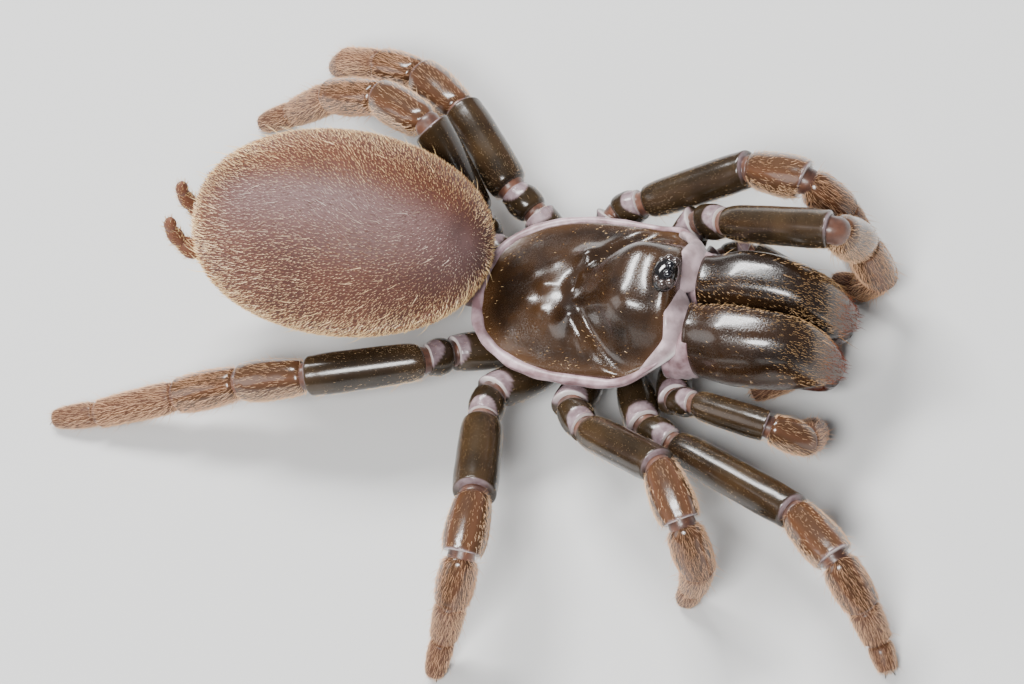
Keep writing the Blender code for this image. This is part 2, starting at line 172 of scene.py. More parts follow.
make_floor()


# Soft body under the shield
# The real flesh between the shield above and the breastplate below is a thin-skinned wall,
# orange where it is stretched, from which the hips come out. It is one closed bag here.
SHIELD_LENGTH = 6.1
SHIELD_HALF_WIDTH = 2.46
FRONT_BLUNTNESS = 3.8
REAR_BLUNTNESS = 2.7
REAR_NARROWING = 0.1
MARGIN_Z = 2.95
FRONT_MARGIN_LIFT = 0.75
FRONT_LIFT_FROM_X = 1.2
SOFT_BODY_LOW_Z = 1.45
SOFT_BODY_BELOW_EDGE = 0.12
LILAC, PALE_LILAC = (0.22, 0.125, 0.135), (0.50, 0.345, 0.375)
ORANGE, PALE_ORANGE = (0.055, 0.020, 0.012), (0.15, 0.060, 0.034)
WHITE_FOLD = (0.86, 0.80, 0.78)


def full_turn(count):
    return np.linspace(0, 2 * math.pi, count, endpoint=False)


def points(x, y, z):
    """Rows of points from their coordinates, each an array or one number for all."""
    return np.stack(np.broadcast_arrays(x, y, z), -1)


def oval_reach(c, s, bluntness):
    """How far a blunt oval reaches on the way (c, s); at a bluntness of 2 it is round."""
    return (np.abs(c) ** bluntness + np.abs(s) ** bluntness) ** (-1 / bluntness)


def smooth_step(low, high, value):
    share = np.clip((np.asarray(value, float) - low) / (high - low), 0.0, 1.0)
    return share * share * (3 - 2 * share)


def shield_edge(angles):
    """The shield's outline from its middle, for angles from straight ahead."""
    c, s = np.cos(angles), np.sin(angles)
    reach = oval_reach(c, s, np.where(c > 0, FRONT_BLUNTNESS, REAR_BLUNTNESS))
    x = SHIELD_LENGTH / 2 * reach * c
    narrow = 1.0 - REAR_NARROWING * smooth_step(0.0, -SHIELD_LENGTH / 2, x)
    return x, SHIELD_HALF_WIDTH * reach * s * narrow


def margin_height(x):
    return MARGIN_Z + FRONT_MARGIN_LIFT * smooth_step(FRONT_LIFT_FROM_X, SHIELD_LENGTH / 2, x)


class Shape:
    """A mesh in the making: closed lofts with an unwrap of their own and values per point."""

    def __init__(self, *value_names):
        self.points, self.faces, self.places, self.slots = [], [], [], []
        self.value_names = value_names
        self.values = {name: [] for name in value_names}
        self.count = 0

    def loft(self, rings, patch=(0.0, 0.0, 1.0, 1.0), material=0, **values):
        """Closed skin through rings (n, m, 3) in drawing millimetres, faces outwards."""
        rings = np.asarray(rings, float)
        n, m, _ = rings.shape
        around = np.roll(rings, -1, 1) - rings
        along = np.roll(rings, -1, 0) - rings
        middles = rings.mean(1, keepdims=True)
        facing = np.einsum("ijk,ijk->", np.cross(around[:-1], along[:-1]), (rings - middles)[:-1])
        turned = facing < 0
        if turned:
            rings = rings[:, ::-1]
        start = self.count
        poles = np.array([rings[0].mean(0), rings[-1].mean(0)])
        self.points.append(np.concatenate([rings.reshape(-1, 3), poles]))
        self.count += n * m + 2
        for name in self.value_names:
            vector = name == "lie"
            given = np.asarray(values.get(name, (0.0, 0.0, 0.0) if vector else 0.0), float)
            full = np.broadcast_to(given, (n, m, 3) if vector else (n, m))
            if turned:
                full = full[:, ::-1]
            flat = full.reshape(n * m, -1)
            ends = np.array([full[0].reshape(m, -1).mean(0), full[-1].reshape(m, -1).mean(0)])
            self.values[name].append(np.concatenate([flat, ends]))
        u = patch[0] + (patch[2] - patch[0]) * np.arange(m + 1) / m
        v = patch[1] + (patch[3] - patch[1]) * (np.arange(n) + 1) / (n + 1)
        for i in range(n - 1):
            for j in range(m):
                k = (j + 1) % m
                a, b = start + i * m, start + (i + 1) * m
                self.faces.append((a + j, a + k, b + k, b + j))
                self.places += [(u[j], v[i]), (u[j + 1], v[i]), (u[j + 1], v[i + 1]), (u[j], v[i + 1])]
        for j in range(m):
            k = (j + 1) % m
            half = (u[j] + u[j + 1]) / 2
            self.faces.append((start + k, start + j, start + n * m))
            self.places += [(u[j + 1], v[0]), (u[j], v[0]), (half, patch[1])]
            last = start + (n - 1) * m
            self.faces.append((last + j, last + k, start + n * m + 1))
            self.places += [(u[j], v[-1]), (u[j + 1], v[-1]), (half, patch[3])]
        self.slots += [material] * (len(self.faces) - len(self.slots))

    def finish(self, name, materials, link=True):
        """The mesh object in the row frame, with its unwrap and its values as attributes."""
        placed = (np.concatenate(self.points) + np.array(DRAWING_ORIGIN)) * MM
        mesh = bpy.data.meshes.new(name)
        mesh.from_pydata(placed.tolist(), [], self.faces)
        unwrap = mesh.uv_layers.new(name="unwrap")
        unwrap.data.foreach_set("uv", np.asarray(self.places, np.float32).ravel())
        for value_name in self.value_names:
            rows = np.concatenate(self.values[value_name]).astype(np.float32)
            kind, field = ("FLOAT_VECTOR", "vector") if value_name == "lie" else ("FLOAT", "value")
            mesh.attributes.new(value_name, kind, "POINT").data.foreach_set(field, rows.ravel())
        for material in materials:
            mesh.materials.append(material)
        mesh.polygons.foreach_set("material_index", self.slots)
        mesh.shade_smooth()
        made = bpy.data.objects.new(name, mesh)
        if link:
            bpy.context.scene.collection.objects.link(made)
        return made


def keep(piece, slot, *nodes):
    """The piece rides on the spider's body and stands for its nodes; its slot is not used."""
    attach(piece, "root")
    if nodes:
        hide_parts(*nodes)
    return piece


def fine_grain_group():
    """Grain in the surface, in cells per millimetre: a mask and a bumped normal."""
    group = bpy.data.node_groups.new("fine grain", "ShaderNodeTree")
    for name, kind, value in (
        ("Cells per mm", "Float", 20.0), ("Depth", "Float", 0.5), ("Height", "Float", 0.01 * MM),
        ("Stretch", "Vector", (1.0, 1.0, 1.0)),
    ):
        socket = group.interface.new_socket(name, in_out="INPUT", socket_type=f"NodeSocket{kind}")
        socket.default_value = value
    for name, kind in (("Mask", "Float"), ("Normal", "Vector")):
        group.interface.new_socket(name, in_out="OUTPUT", socket_type=f"NodeSocket{kind}")
    given = put(group, "NodeGroupInput").outputs
    place = put(group, "ShaderNodeTexCoord").outputs["Object"]
    for scale in ((1 / MM, 1 / MM, 1 / MM), given["Stretch"]):
        scaled = put(group, "ShaderNodeVectorMath", {0: place, 1: scale}, operation="MULTIPLY")
        place = scaled.outputs[0]
    noise = put(group, "ShaderNodeTexNoise", {
        "Vector": place, "Scale": given["Cells per mm"], "Detail": 3.0,
    }).outputs["Fac"]
    bump = put(group, "ShaderNodeBump", {
        "Strength": given["Depth"], "Distance": given["Height"], "Height": noise,
    })
    put(group, "NodeGroupOutput", {"Mask": noise, "Normal": bump.outputs["Normal"]})
    return group


fine_grain = fine_grain_group()


def grain(tree, cells, depth=0.0, height=0.01, stretch=(1.0, 1.0, 1.0)):
    """The grain's mask and its normal; the bumps' height is in millimetres."""
    made = put(tree, "ShaderNodeGroup", {
        "Cells per mm": cells, "Depth": depth, "Height": height * MM, "Stretch": stretch,
    }, node_tree=fine_grain)
    return made.outputs["Mask"], made.outputs["Normal"]


def stored_share(tree, name):
    """A value that the mesh carries under this name."""
    return put(tree, "ShaderNodeAttribute", attribute_name=name).outputs["Fac"]


def between(tree, share, first, second):
    """A colour between two, by a share; each is a colour or a socket."""
    made = put(tree, "ShaderNodeMix", {0: share}, data_type="RGBA")
    for socket, value in ((made.inputs[6], first), (made.inputs[7], second)):
        if isinstance(value, bpy.types.NodeSocket):
            tree.links.new(value, socket)
        else:
            socket.default_value = (*value, 1.0)
    return made.outputs[2]


def spread_over(tree, value, low, high, to_low=0.0, to_high=1.0):
    """A value stretched from one range to another, held at its ends."""
    values = dict(enumerate((value, low, high, to_low, to_high)))
    return put(tree, "ShaderNodeMapRange", values).outputs[0]


def membrane_material():
    """Thin skin of the joints: lilac pink, whiter on its folds, orange where it is stretched."""
    made, tree, shader = new_material(
        "membrane", Roughness=0.42, Coat_Weight=0.3, Coat_Roughness=0.25, Sheen_Weight=0.15,
    )
    folds, folded = grain(tree, 2.2, 0.7, 0.06)
    fine, _ = grain(tree, 14.0, 0.5)
    stretched = stored_share(tree, "stretched")
    pale = spread_over(tree, folds, 0.38, 0.62)
    lilac = between(tree, pale, LILAC, PALE_LILAC)
    skin = between(tree, stretched, lilac, between(tree, pale, ORANGE, PALE_ORANGE))
    whiter = spread_over(tree, stretched, 0.0, -1.0)
    wire(
        tree, shader, Base_Color=between(tree, whiter, skin, WHITE_FOLD), Normal=folded,
        Roughness=spread_over(tree, fine, 0.3, 0.7, 0.34, 0.52),
    )
    return made


membrane = membrane_material()


def make_soft_body():
    edge_x, edge_y = shield_edge(full_turn(96))
    rings, stretched = [], []
    for share in np.linspace(0.0, 1.0, 14):
        wide = 0.46 + 0.46 * smooth_step(0.0, 0.75, share)
        folded = wide + 0.04 * math.sin(share * 19.0) * (1 - share)
        top = margin_height(edge_x * wide) - SOFT_BODY_BELOW_EDGE
        z = SOFT_BODY_LOW_Z + (top - SOFT_BODY_LOW_Z) * share
        rings.append(points(SHIELD_MIDDLE_X + edge_x * folded, edge_y * folded, z))
        stretched.append(np.full(len(z), 1.0 - 0.6 * smooth_step(0.5, 1.0, share)))
    shape = Shape("stretched")
    shape.loft(rings, stretched=stretched)
    keep(shape.finish("soft_body", [membrane]), "soft_skin")


make_soft_body()


# Breastplate
# A flat plate of hardened skin under the body, dark olive brown, with the hips round it. The
# real one has four pairs of small dimples too, which the photograph doesn't show.
SHELL_DARK, SHELL_CLEAR = (0.019, 0.0120, 0.0062), (0.044, 0.0265, 0.0120)
BARE_RED = (0.120, 0.050, 0.024)
CRESCENT, PALE_CRESCENT = (0.19, 0.130, 0.140), (0.30, 0.225, 0.240)
LIP_WHITE = (0.62, 0.55, 0.53)
UNDER_COAT = (0.090, 0.034, 0.015)
PLATE_MIDDLE_X = 2.85
PLATE_HALF_LENGTH = 2.15
# How wide the plate is at each height of its section, from below upwards.
PLATE_SECTION = (
    (0.25, 0.93), (0.5, 0.93), (0.72, 0.95), (0.88, 1.0), (0.97, 1.1), (1.0, 1.25), (1.0, 1.5), (0.8, 1.65),
)


def leg_shell_material():
    """Dark olive brown shell of the limbs, paler on the lips at the joints."""
    made, tree, shader = new_material(
        "limb shell", Roughness=0.2, Coat_Weight=0.3, Coat_Roughness=0.07, Specular_IOR_Level=0.4,
    )
    clouds, _ = grain(tree, 0.9)
    mottling, _ = grain(tree, 5.0)
    shagreen, bumped = grain(tree, 26.0, 0.35, 0.008)
    lip, bare, dull = (stored_share(tree, name) for name in ("lip", "bare", "dull"))
    shell = between(tree, spread_over(tree, clouds, 0.35, 0.68), SHELL_DARK, SHELL_CLEAR)
    red = between(tree, bare, shell, BARE_RED)
    mottled = between(tree, spread_over(tree, mottling, 0.35, 0.65), CRESCENT, PALE_CRESCENT)
    edged = between(tree, spread_over(tree, lip, 1.0, 1.6), between(tree, lip, red, mottled), LIP_WHITE)
    polished = spread_over(tree, shagreen, 0.3, 0.7, 0.15, 0.28)
    rougher = put(tree, "ShaderNodeMath", {0: dull, 1: 0.35, 2: polished}, operation="MULTIPLY_ADD")
    wire(
        tree, shader, Base_Color=between(tree, dull, edged, UNDER_COAT), Normal=bumped,
        Roughness=rougher.outputs[0], Coat_Weight=spread_over(tree, bare, 0.0, 1.0, 0.15, 0.7),
    )
    return made


limb_shell = leg_shell_material()


def make_breastplate():
    turns = full_turn(72)
    narrow = 1 - 0.3 * smooth_step(-0.2, -1.0, np.cos(turns))
    rings = []
    for share, z in PLATE_SECTION:
        scallop = 1 + 0.03 * np.cos(turns * 8) * smooth_step(0.6, 1.0, share)
        x = PLATE_MIDDLE_X + PLATE_HALF_LENGTH * share * scallop * np.cos(turns)
        y = share * narrow * scallop * np.sin(turns)
        rings.append(points(x, y, z))
    shape = Shape("lip", "bare")
    shape.loft(rings)
    keep(shape.finish("breastplate", [limb_shell]), "leg_shell", "sternum")


make_breastplate()


# Shield
# The carapace: one plate of polished shell. Its head part swells up in front, and two
# grooves run from the pit in the middle out to the front corners, with bosses behind them.
HEAD_FULL = 1.58
HEAD_HALF_WIDTH = 2.1
HEAD_SPREAD = 0.79
THORAX_RISE = 0.68
LIP_RISE = 0.26
PIT_X = -0.30
PIT_DEPTH = 0.22
PIT_SIZE = (0.26, 0.36)
BOSS_PLACE = (-0.10, 1.02)
BOSS_RISE = 0.28
BOSS_SIZE = (0.40, 0.38)
# The lumps behind the pit: how far ahead and aside of the middle, how high and how large.
LUMPS = (
    (-1.15, 0.0, 0.10, (0.28, 0.24)), (-1.6, 0.46, 0.06, (0.26, 0.22)), (-1.1, 0.8, 0.06, (0.26, 0.24)),
)
SPOKE_TURNS = (84.0, 112.0, 142.0)
SPOKE_DEPTH = 0.035
SPOKE_WIDTH = 0.26
EYES_SEAT_X = 2.76
EYES_SEAT_RISE = 0.34
EYES_SEAT_SIZE = (0.42, 0.72)
# The underside turns in from the edge: how far out and how far below the edge each ring is.
UNDER_RINGS = ((1.0, 0.07), (0.99, 0.16), (0.95, 0.25), (0.7, 0.4), (0.3, 0.5))


def hump(value, width):
    """How full a round ridge is at a distance from its crest: 1 there, fading over its width."""
    return np.exp(-(value / width) ** 2)


def bump_share(x, y, size):
    """How full a round bump is at a place from its middle: 1 there, fading over its size."""
    return np.exp(-(x / size[0]) ** 2 - (y / size[1]) ** 2)


def soft_ramp(value, width):
    """Nothing below zero and as much as the value above it, with a rounded bend."""
    return (value + np.sqrt(value * value + width * width)) / 2


def shield_top(x, y, out):
    """Height of the shield's surface for places from its middle; out is 1 at the edge."""
    aside = np.abs(y)
    lip = np.sqrt(np.clip(1.0 - out ** 14, 0.0, 1.0))
    steep = 5.0 + 17.0 * smooth_step(0.6, 2.4, x) + 20.0 * smooth_step(2.3, 2.85, x)
    dome = np.sqrt(np.clip(1.0 - out ** steep, 0.0, 1.0))
    ahead = smooth_step(-0.2, 0.9, x)
    inner = (1.0 - ahead) * (1.0 - out ** 2.2) + ahead * (1.0 - smooth_step(0.15, 0.85, out))
    forward = smooth_step(PIT_X - 0.1, 1.9, x)
    groove_y = 0.42 + 0.96 * soft_ramp(x - PIT_X, 0.3)
    head_reach = groove_y - soft_ramp(groove_y - HEAD_HALF_WIDTH, 0.3)
    head = HEAD_FULL * forward * np.exp(-(aside / head_reach / HEAD_SPREAD) ** 5)
    fade = smooth_step(PIT_X - 0.1, PIT_X + 0.7, x)
    groove = 0.05 * hump(aside - groove_y, 0.3) * fade
    shelf = 0.12 * hump(aside - groove_y - 0.5, 0.34) * fade
    pit = PIT_DEPTH * bump_share(x - PIT_X, y, PIT_SIZE)
    boss = BOSS_RISE * bump_share(x - BOSS_PLACE[0], aside - BOSS_PLACE[1], BOSS_SIZE)
    lumps = sum(rise * bump_share(x - at_x, aside - at_y, size) for at_x, at_y, rise, size in LUMPS)
    spokes = np.zeros_like(x)
    for turn in SPOKE_TURNS:
        c, s = math.cos(math.radians(turn)), math.sin(math.radians(turn))
        reach = x * c + aside * s
        spoke = SPOKE_DEPTH * hump(-x * s + aside * c, SPOKE_WIDTH) * smooth_step(1.2, 1.6, reach)
        spokes += spoke * smooth_step(2.6, 2.1, reach)
    fall = 0.15 * soft_ramp(-x - 0.3, 0.4) + 0.05 * aside * smooth_step(0.6, -0.4, x)
    eyes_seat = EYES_SEAT_RISE * bump_share(x - EYES_SEAT_X, y, EYES_SEAT_SIZE)
    margin = margin_height(x)
    risen = (THORAX_RISE - LIP_RISE) * inner + head + boss + lumps + shelf - groove - pit - spokes - fall
    surface = margin + lip * LIP_RISE + dome * (risen + MARGIN_Z - margin)
    return surface + eyes_seat * smooth_step(1.0, 0.975, out)


def shell_material(name, dark, clear, roughness, cloud_cells):
    """Polished shell: dark, with browner clouds where light comes through, finely shagreened."""
    made, tree, shader = new_material(
        name, Roughness=roughness, Coat_Weight=0.6, Coat_Roughness=0.12, Specular_IOR_Level=0.5,
    )
    clouds, _ = grain(tree, cloud_cells)
    shagreen, bumped = grain(tree, 22.0, 0.8, 0.011)
    patches, _ = grain(tree, 1.3)
    brown = between(tree, spread_over(tree, clouds, 0.4, 0.7), dark, clear)
    amber = tuple(min(1.0, channel * 2.6) for channel in clear)
    patchy = put(tree, "ShaderNodeMath", {0: shagreen, 1: patches}, operation="MULTIPLY").outputs[0]
    wire(
        tree, shader, Base_Color=between(tree, stored_share(tree, "glow"), brown, amber), Normal=bumped,
        Roughness=spread_over(tree, patchy, 0.15, 0.35, roughness - 0.07, roughness + 0.12),
    )
    return made


def make_shield():
    around = 168
    edge_x, edge_y = shield_edge(full_turn(around))
    outs = np.concatenate([np.linspace(0.02, 0.9, 50), np.linspace(0.91, 0.995, 22), [0.999]])
    rings, hair, glow = [], [], []
    for out in outs:
        x, y = edge_x * out, edge_y * out
        z = shield_top(x, y, np.full(around, out))
        rings.append(points(x + SHIELD_MIDDLE_X, y, z))
        groove_y = 0.45 + np.maximum(0.0, x - PIT_X)
        beside = hump(np.abs(y) - groove_y - 0.12, 0.22) * smooth_step(-0.1, 0.3, x)
        edging = smooth_step(0.72, 0.86, out) * smooth_step(0.97, 0.93, out) * smooth_step(2.2, 1.0, x)
        seat = 0.7 * bump_share(x - 2.45, np.abs(y) - 0.4, (0.25, 0.25))
        hair.append(0.75 * beside + 0.35 * edging + seat + 0.05)
        glow.append(0.5 * smooth_step(0.8, 1.0, out) + 0.35 * bump_share(x + 0.9, y, (0.5, 0.8)))
    for out, drop in UNDER_RINGS:
        x, y = edge_x * out, edge_y * out
        rings.append(points(x + SHIELD_MIDDLE_X, y, margin_height(x) - drop))
        hair.append(np.zeros(around))
        glow.append(np.full(around, 0.5))
    shape = Shape("hair", "long", "glow", "lie")
    shape.loft(rings, hair=hair, glow=glow, long=1.0, lie=(1.0, 0.0, 0.0))
    shell = shell_material("shield shell", (0.015, 0.0078, 0.0042), (0.044, 0.0205, 0.0080), 0.21, 0.8)
    return keep(shape.finish("shield", [shell]), "shell", "carapace")


shield = make_shield()


# Rim of the shield
# A rolled strip of pale lilac skin shows all along the sides and the rear of the shield,
# where its edge joins the soft wall below.
RIM_TURNS = (34, 326)
# Each fold's way outwards, drop, half width, half height and how far it is stretched.
RIM_FOLDS = (
    (0.10, 0.03, 0.17, 0.10, 0.0), (0.02, 0.22, 0.22, 0.16, 0.25), (-0.12, 0.42, 0.24, 0.18, 0.7),
)


def tube(path, widths, heights, ups, sides=12):
    """Rings round a path of points, each with its own half width, half height and up."""
    path = np.asarray(path, float)
    ahead = np.gradient(path, axis=0)
    ahead /= np.linalg.norm(ahead, axis=1, keepdims=True)
    ups = np.broadcast_to(np.asarray(ups, float), path.shape)
    across = np.cross(ahead, ups)
    across /= np.linalg.norm(across, axis=1, keepdims=True)
    raised = np.cross(across, ahead)
    turns = full_turn(sides)
    widths = np.broadcast_to(widths, len(path))[:, None, None]
    heights = np.broadcast_to(heights, len(path))[:, None, None]
    c, s = np.cos(turns)[None, :, None], np.sin(turns)[None, :, None]
    return path[:, None] + across[:, None] * widths * c + raised[:, None] * heights * s


def make_rim():
    turns = np.radians(np.linspace(*RIM_TURNS, 180))
    x, y = shield_edge(turns)
    away = np.stack([np.cos(turns) * 0.8, np.sin(turns)], 1)
    away /= np.linalg.norm(away, axis=1, keepdims=True)
    ends = np.sin(np.linspace(0, math.pi, len(turns))) ** 0.3
    waves = 1 + 0.08 * np.sin(turns * 23.0) + 0.08 * np.sin(turns * 9.0 + 1.0)
    shape = Shape("stretched")
    near = 0.8 + 0.2 * smooth_step(0.5, -0.5, y / SHIELD_HALF_WIDTH)
    for out, drop, wide, high, stretch in RIM_FOLDS:
        path = points(
            x + SHIELD_MIDDLE_X + away[:, 0] * out, y + away[:, 1] * out, margin_height(x) - drop,
        )
        shape.loft(tube(path, wide * ends * waves * near, high * ends, (0, 0, 1), 16), stretched=stretch)
    keep(shape.finish("rim", [membrane]), "soft_skin")


make_rim()


# Bristle maker
# Every hair of the model is a thin closed cone that bends towards the skin, set over it by
# one tree. Its places, lengths and lie come from values stored on the skin it grows from.
BRISTLE_INPUTS = {
    "Geometry": "Geometry", "Spacing": "Float", "Most per area": "Float", "Length": "Float",
    "Slenderness": "Float", "Lift": "Float", "Disorder": "Float", "Bend": "Float",
    "Joints": "Int", "Seed": "Int", "Material": "Material",
}
# How deep a bristle's root is sunk, as a share of its length.
ROOT_SUNK = 0.06
# The lowest that a bristle hangs over the floor, in millimetres.
LEAST_HEIGHT = 0.006
# How wide a bristle's own patch on the OFBake map is, and what brings the cone's width there
# to 1: a cone of three sides is the inverse of this times its radius wide.
PATCH_SIZE = 0.003
TO_UNIT_WIDTH = 0.577


def bristle_tree():
    tree = bpy.data.node_groups.new("bristles", "GeometryNodeTree")
    for name, kind in BRISTLE_INPUTS.items():
        tree.interface.new_socket(name, in_out="INPUT", socket_type=f"NodeSocket{kind}")
    tree.interface.new_socket("Geometry", in_out="OUTPUT", socket_type="NodeSocketGeometry")
    given = put(tree, "NodeGroupInput").outputs

    def node(kind, values=None, output=0, **settings):
        return put(tree, kind, values, **settings).outputs[output]

    def stored(name, kind="FLOAT"):
        return node("GeometryNodeInputNamedAttribute", {"Name": name}, "Attribute", data_type=kind)

    def note(geometry, name, value, kind, domain):
        values = {"Geometry": geometry, "Name": name, "Value": value}
        return node("GeometryNodeStoreNamedAttribute", values, data_type=kind, domain=domain)

    def vector(operation, first, second):
        return node("ShaderNodeVectorMath", {0: first, 1: second}, operation=operation)

    def scaled(first, scale):
        return node("ShaderNodeVectorMath", {0: first, "Scale": scale}, operation="SCALE")

    def number(operation, *values):
        return node("ShaderNodeMath", dict(enumerate(values)), operation=operation)

    def scatter(low, high, seed):
        return node("FunctionNodeRandomValue", {2: low, 3: high, "Seed": seed}, 1, data_type="FLOAT")

    roots = put(tree, "GeometryNodeDistributePointsOnFaces", {
        "Mesh": given["Geometry"], "Distance Min": given["Spacing"], "Density Max": given["Most per area"],
        "Density Factor": stored("hair"), "Seed": given["Seed"],
    }, distribute_method="POISSON").outputs
    anyhow = node("FunctionNodeRandomValue", {
        0: (-1, -1, -1), 1: (1, 1, 1), "Seed": 3,
    }, data_type="FLOAT_VECTOR")
    lie = stored("lie", "FLOAT_VECTOR")
    flat_lie = vector("SUBTRACT", lie, vector("PROJECT", lie, roots["Normal"]))
    raised = vector("ADD", flat_lie, scaled(roots["Normal"], given["Lift"]))
    way = vector("ADD", raised, scaled(anyhow, given["Disorder"]))
    size = number("MULTIPLY", number("MULTIPLY", given["Length"], stored("long")), scatter(0.7, 1.2, 5))

    cone = node("GeometryNodeMeshCone", {
        "Vertices": 3, "Side Segments": given["Joints"], "Radius Top": 0.0,
        "Radius Bottom": given["Slenderness"], "Depth": 1.0,
    }, "Mesh")
    here = put(tree, "ShaderNodeSeparateXYZ", {0: node("GeometryNodeInputPosition")}).outputs
    dropped = number("MULTIPLY", given["Bend"], -1.0)
    fall = number("MULTIPLY", number("MULTIPLY", here["Z"], here["Z"]), dropped)
    across = number("MULTIPLY", number("DIVIDE", here["Y"], given["Slenderness"]), TO_UNIT_WIDTH)
    patch = node("ShaderNodeCombineXYZ", {"X": across, "Y": here["Z"]})
    bent = node("GeometryNodeSetPosition", {
        "Geometry": note(cone, "patch", patch, "FLOAT_VECTOR", "POINT"),
        "Offset": node("ShaderNodeCombineXYZ", {"X": fall, "Z": -ROOT_SUNK}),
    })
    set_out = node("GeometryNodeInstanceOnPoints", {
        "Points": roots["Points"], "Instance": bent, "Scale": size,
        "Rotation": node("FunctionNodeAxesToRotation", {0: way, 1: roots["Normal"]}),
    })
    toned = note(set_out, "tone", scatter(0.0, 1.0, 9), "FLOAT", "INSTANCE")
    pressed = number("MULTIPLY_ADD", here["Z"], 0.02, LEAST_HEIGHT * MM)
    laid = node("GeometryNodeSetPosition", {
        "Geometry": node("GeometryNodeRealizeInstances", {"Geometry": toned}),
        "Position": node("ShaderNodeCombineXYZ", {
            "X": here["X"], "Y": here["Y"], "Z": number("MAXIMUM", here["Z"], pressed),
        }),
    })
    spread = scaled(stored("patch", "FLOAT_VECTOR"), PATCH_SIZE)
    unwrapped = vector("ADD", stored("unwrap", "FLOAT_VECTOR"), spread)
    mapped = note(laid, "OFBake", unwrapped, "FLOAT2", "CORNER")
    painted = node("GeometryNodeSetMaterial", {"Geometry": mapped, "Material": given["Material"]})
    put(tree, "NodeGroupOutput", {"Geometry": painted})
    return tree


bristles = bristle_tree()


def grow(
    name, skins, slot, material, length, seed, spacing=0.09, most=100.0, thick=0.01, lift=0.5,
    disorder=0.2, bend=0.3, joints=2,
):
    """Bristles over a skin as one plain mesh; lengths in mm, the most per square mm."""
    modifier = skins.modifiers.new("bristles", "NODES")
    modifier.node_group = bristles
    values = {
        "Spacing": spacing * MM, "Most per area": most / MM ** 2, "Length": length * MM,
        "Slenderness": thick / length, "Lift": lift, "Disorder": disorder, "Bend": bend,
        "Joints": joints, "Seed": seed, "Material": material,
    }
    for socket in bristles.interface.items_tree:
        if socket.item_type == "SOCKET" and socket.in_out == "INPUT" and socket.name in values:
            modifier[socket.identifier] = values[socket.name]
    skins.update_tag()
    graph = bpy.context.evaluated_depsgraph_get()
    mesh = bpy.data.meshes.new_from_object(skins.evaluated_get(graph))
    skins.modifiers.remove(modifier)
    mesh.name = name
    made = bpy.data.objects.new(name, mesh)
    bpy.context.scene.collection.objects.link(made)
    return keep(made, slot)


def bristle_material(name, dark, light, gold, roughness=0.38):
    """Hair of one kind: each differs in tone, and the stored gold share makes some yellower."""
    made, tree, shader = new_material(name, Roughness=roughness, Specular_IOR_Level=0.35)
    tone = stored_share(tree, "tone")
    brown = between(tree, tone, dark, light)
    wire(
        tree, shader, Base_Color=between(tree, stored_share(tree, "gold"), brown, gold),
        Roughness=spread_over(tree, tone, 0.0, 1.0, roughness - 0.06, roughness + 0.08),
    )
    return made


gold_bristle = bristle_material(
    "gold bristles", (0.34, 0.17, 0.06), (0.85, 0.60, 0.33), (0.85, 0.55, 0.25),
)
grow(
    "shield_bristles", shield, "leg_fur", gold_bristle, 0.09, 21, spacing=0.07, most=60.0,
    thick=0.011, lift=0.7, disorder=0.5,
)


# Eyes
# Eight small lenses sit close together on one black, polished mound at the front of the
# head: two round dark ones in the middle and three paler ones in a bunch on each side.
EYES_MIDDLE = np.array([5.85, 0.0, 5.14])
MOUND_SUNK = (0.06, 0, 0.17)
MOUND_SIZE = (0.37, 0.56, 0.36)
PORE_HEIGHT = 0.012
# Roughness of the surface and of its gloss, cells per mm, depth, darkest and lightest colour.
EYE_MATERIALS = {
    "eye mound": (0.12, 0.04, 12.0, 0.4, (0.003, 0.003, 0.004), (0.012, 0.009, 0.008)),
    "dark lens": (0.03, 0.02, 5.0, 0.0, (0.002, 0.002, 0.003), (0.010, 0.009, 0.014)),
    "pale lens": (0.05, 0.03, 6.0, 0.0, (0.012, 0.008, 0.007), (0.075, 0.050, 0.042)),
}
# Each lens of one side: how far ahead, aside and up from the middle, its radius and material.
LENSES = (
    (0.12, 0.14, 0.12, 0.14, 1), (0.20, 0.34, 0.0, 0.14, 2), (0.0, 0.40, -0.01, 0.15, 2),
    (-0.17, 0.29, 0.045, 0.12, 2),
)


def eye_material(name, roughness, gloss_roughness, cells, depth, dark, light):
    made, tree, shader = new_material(
        name, Roughness=roughness, Coat_Weight=1.0, Coat_Roughness=gloss_roughness,
    )
    pores, bumped = grain(tree, cells, depth, PORE_HEIGHT)
    wire(tree, shader, Base_Color=between(tree, pores, dark, light))
    if depth:
        wire(tree, shader, Normal=bumped)
    return made


def ball(middle, size, rows=14, around=24):
    """Rings of a round body with its poles up and down."""
    falls = np.linspace(0, math.pi, rows + 2)[1:-1]
    turns = full_turn(around)
    flat = np.sin(falls)[:, None]
    high = np.cos(falls)[:, None] * size[2]
    return points(flat * np.cos(turns) * size[0], flat * np.sin(turns) * size[1], high) + middle


def make_eyes():
    shape = Shape()
    shape.loft(ball(EYES_MIDDLE - MOUND_SUNK, MOUND_SIZE, 24, 48))
    for side in (1, -1):
        for ahead, aside, up, radius, kind in LENSES:
            place = EYES_MIDDLE + (ahead, side * aside, up)
            shape.loft(ball(place, (radius, radius, radius)), material=kind)
    materials = [eye_material(name, *values) for name, values in EYE_MATERIALS.items()]
    keep(shape.finish("eye_group", materials), "eye", "eyes")


make_eyes()


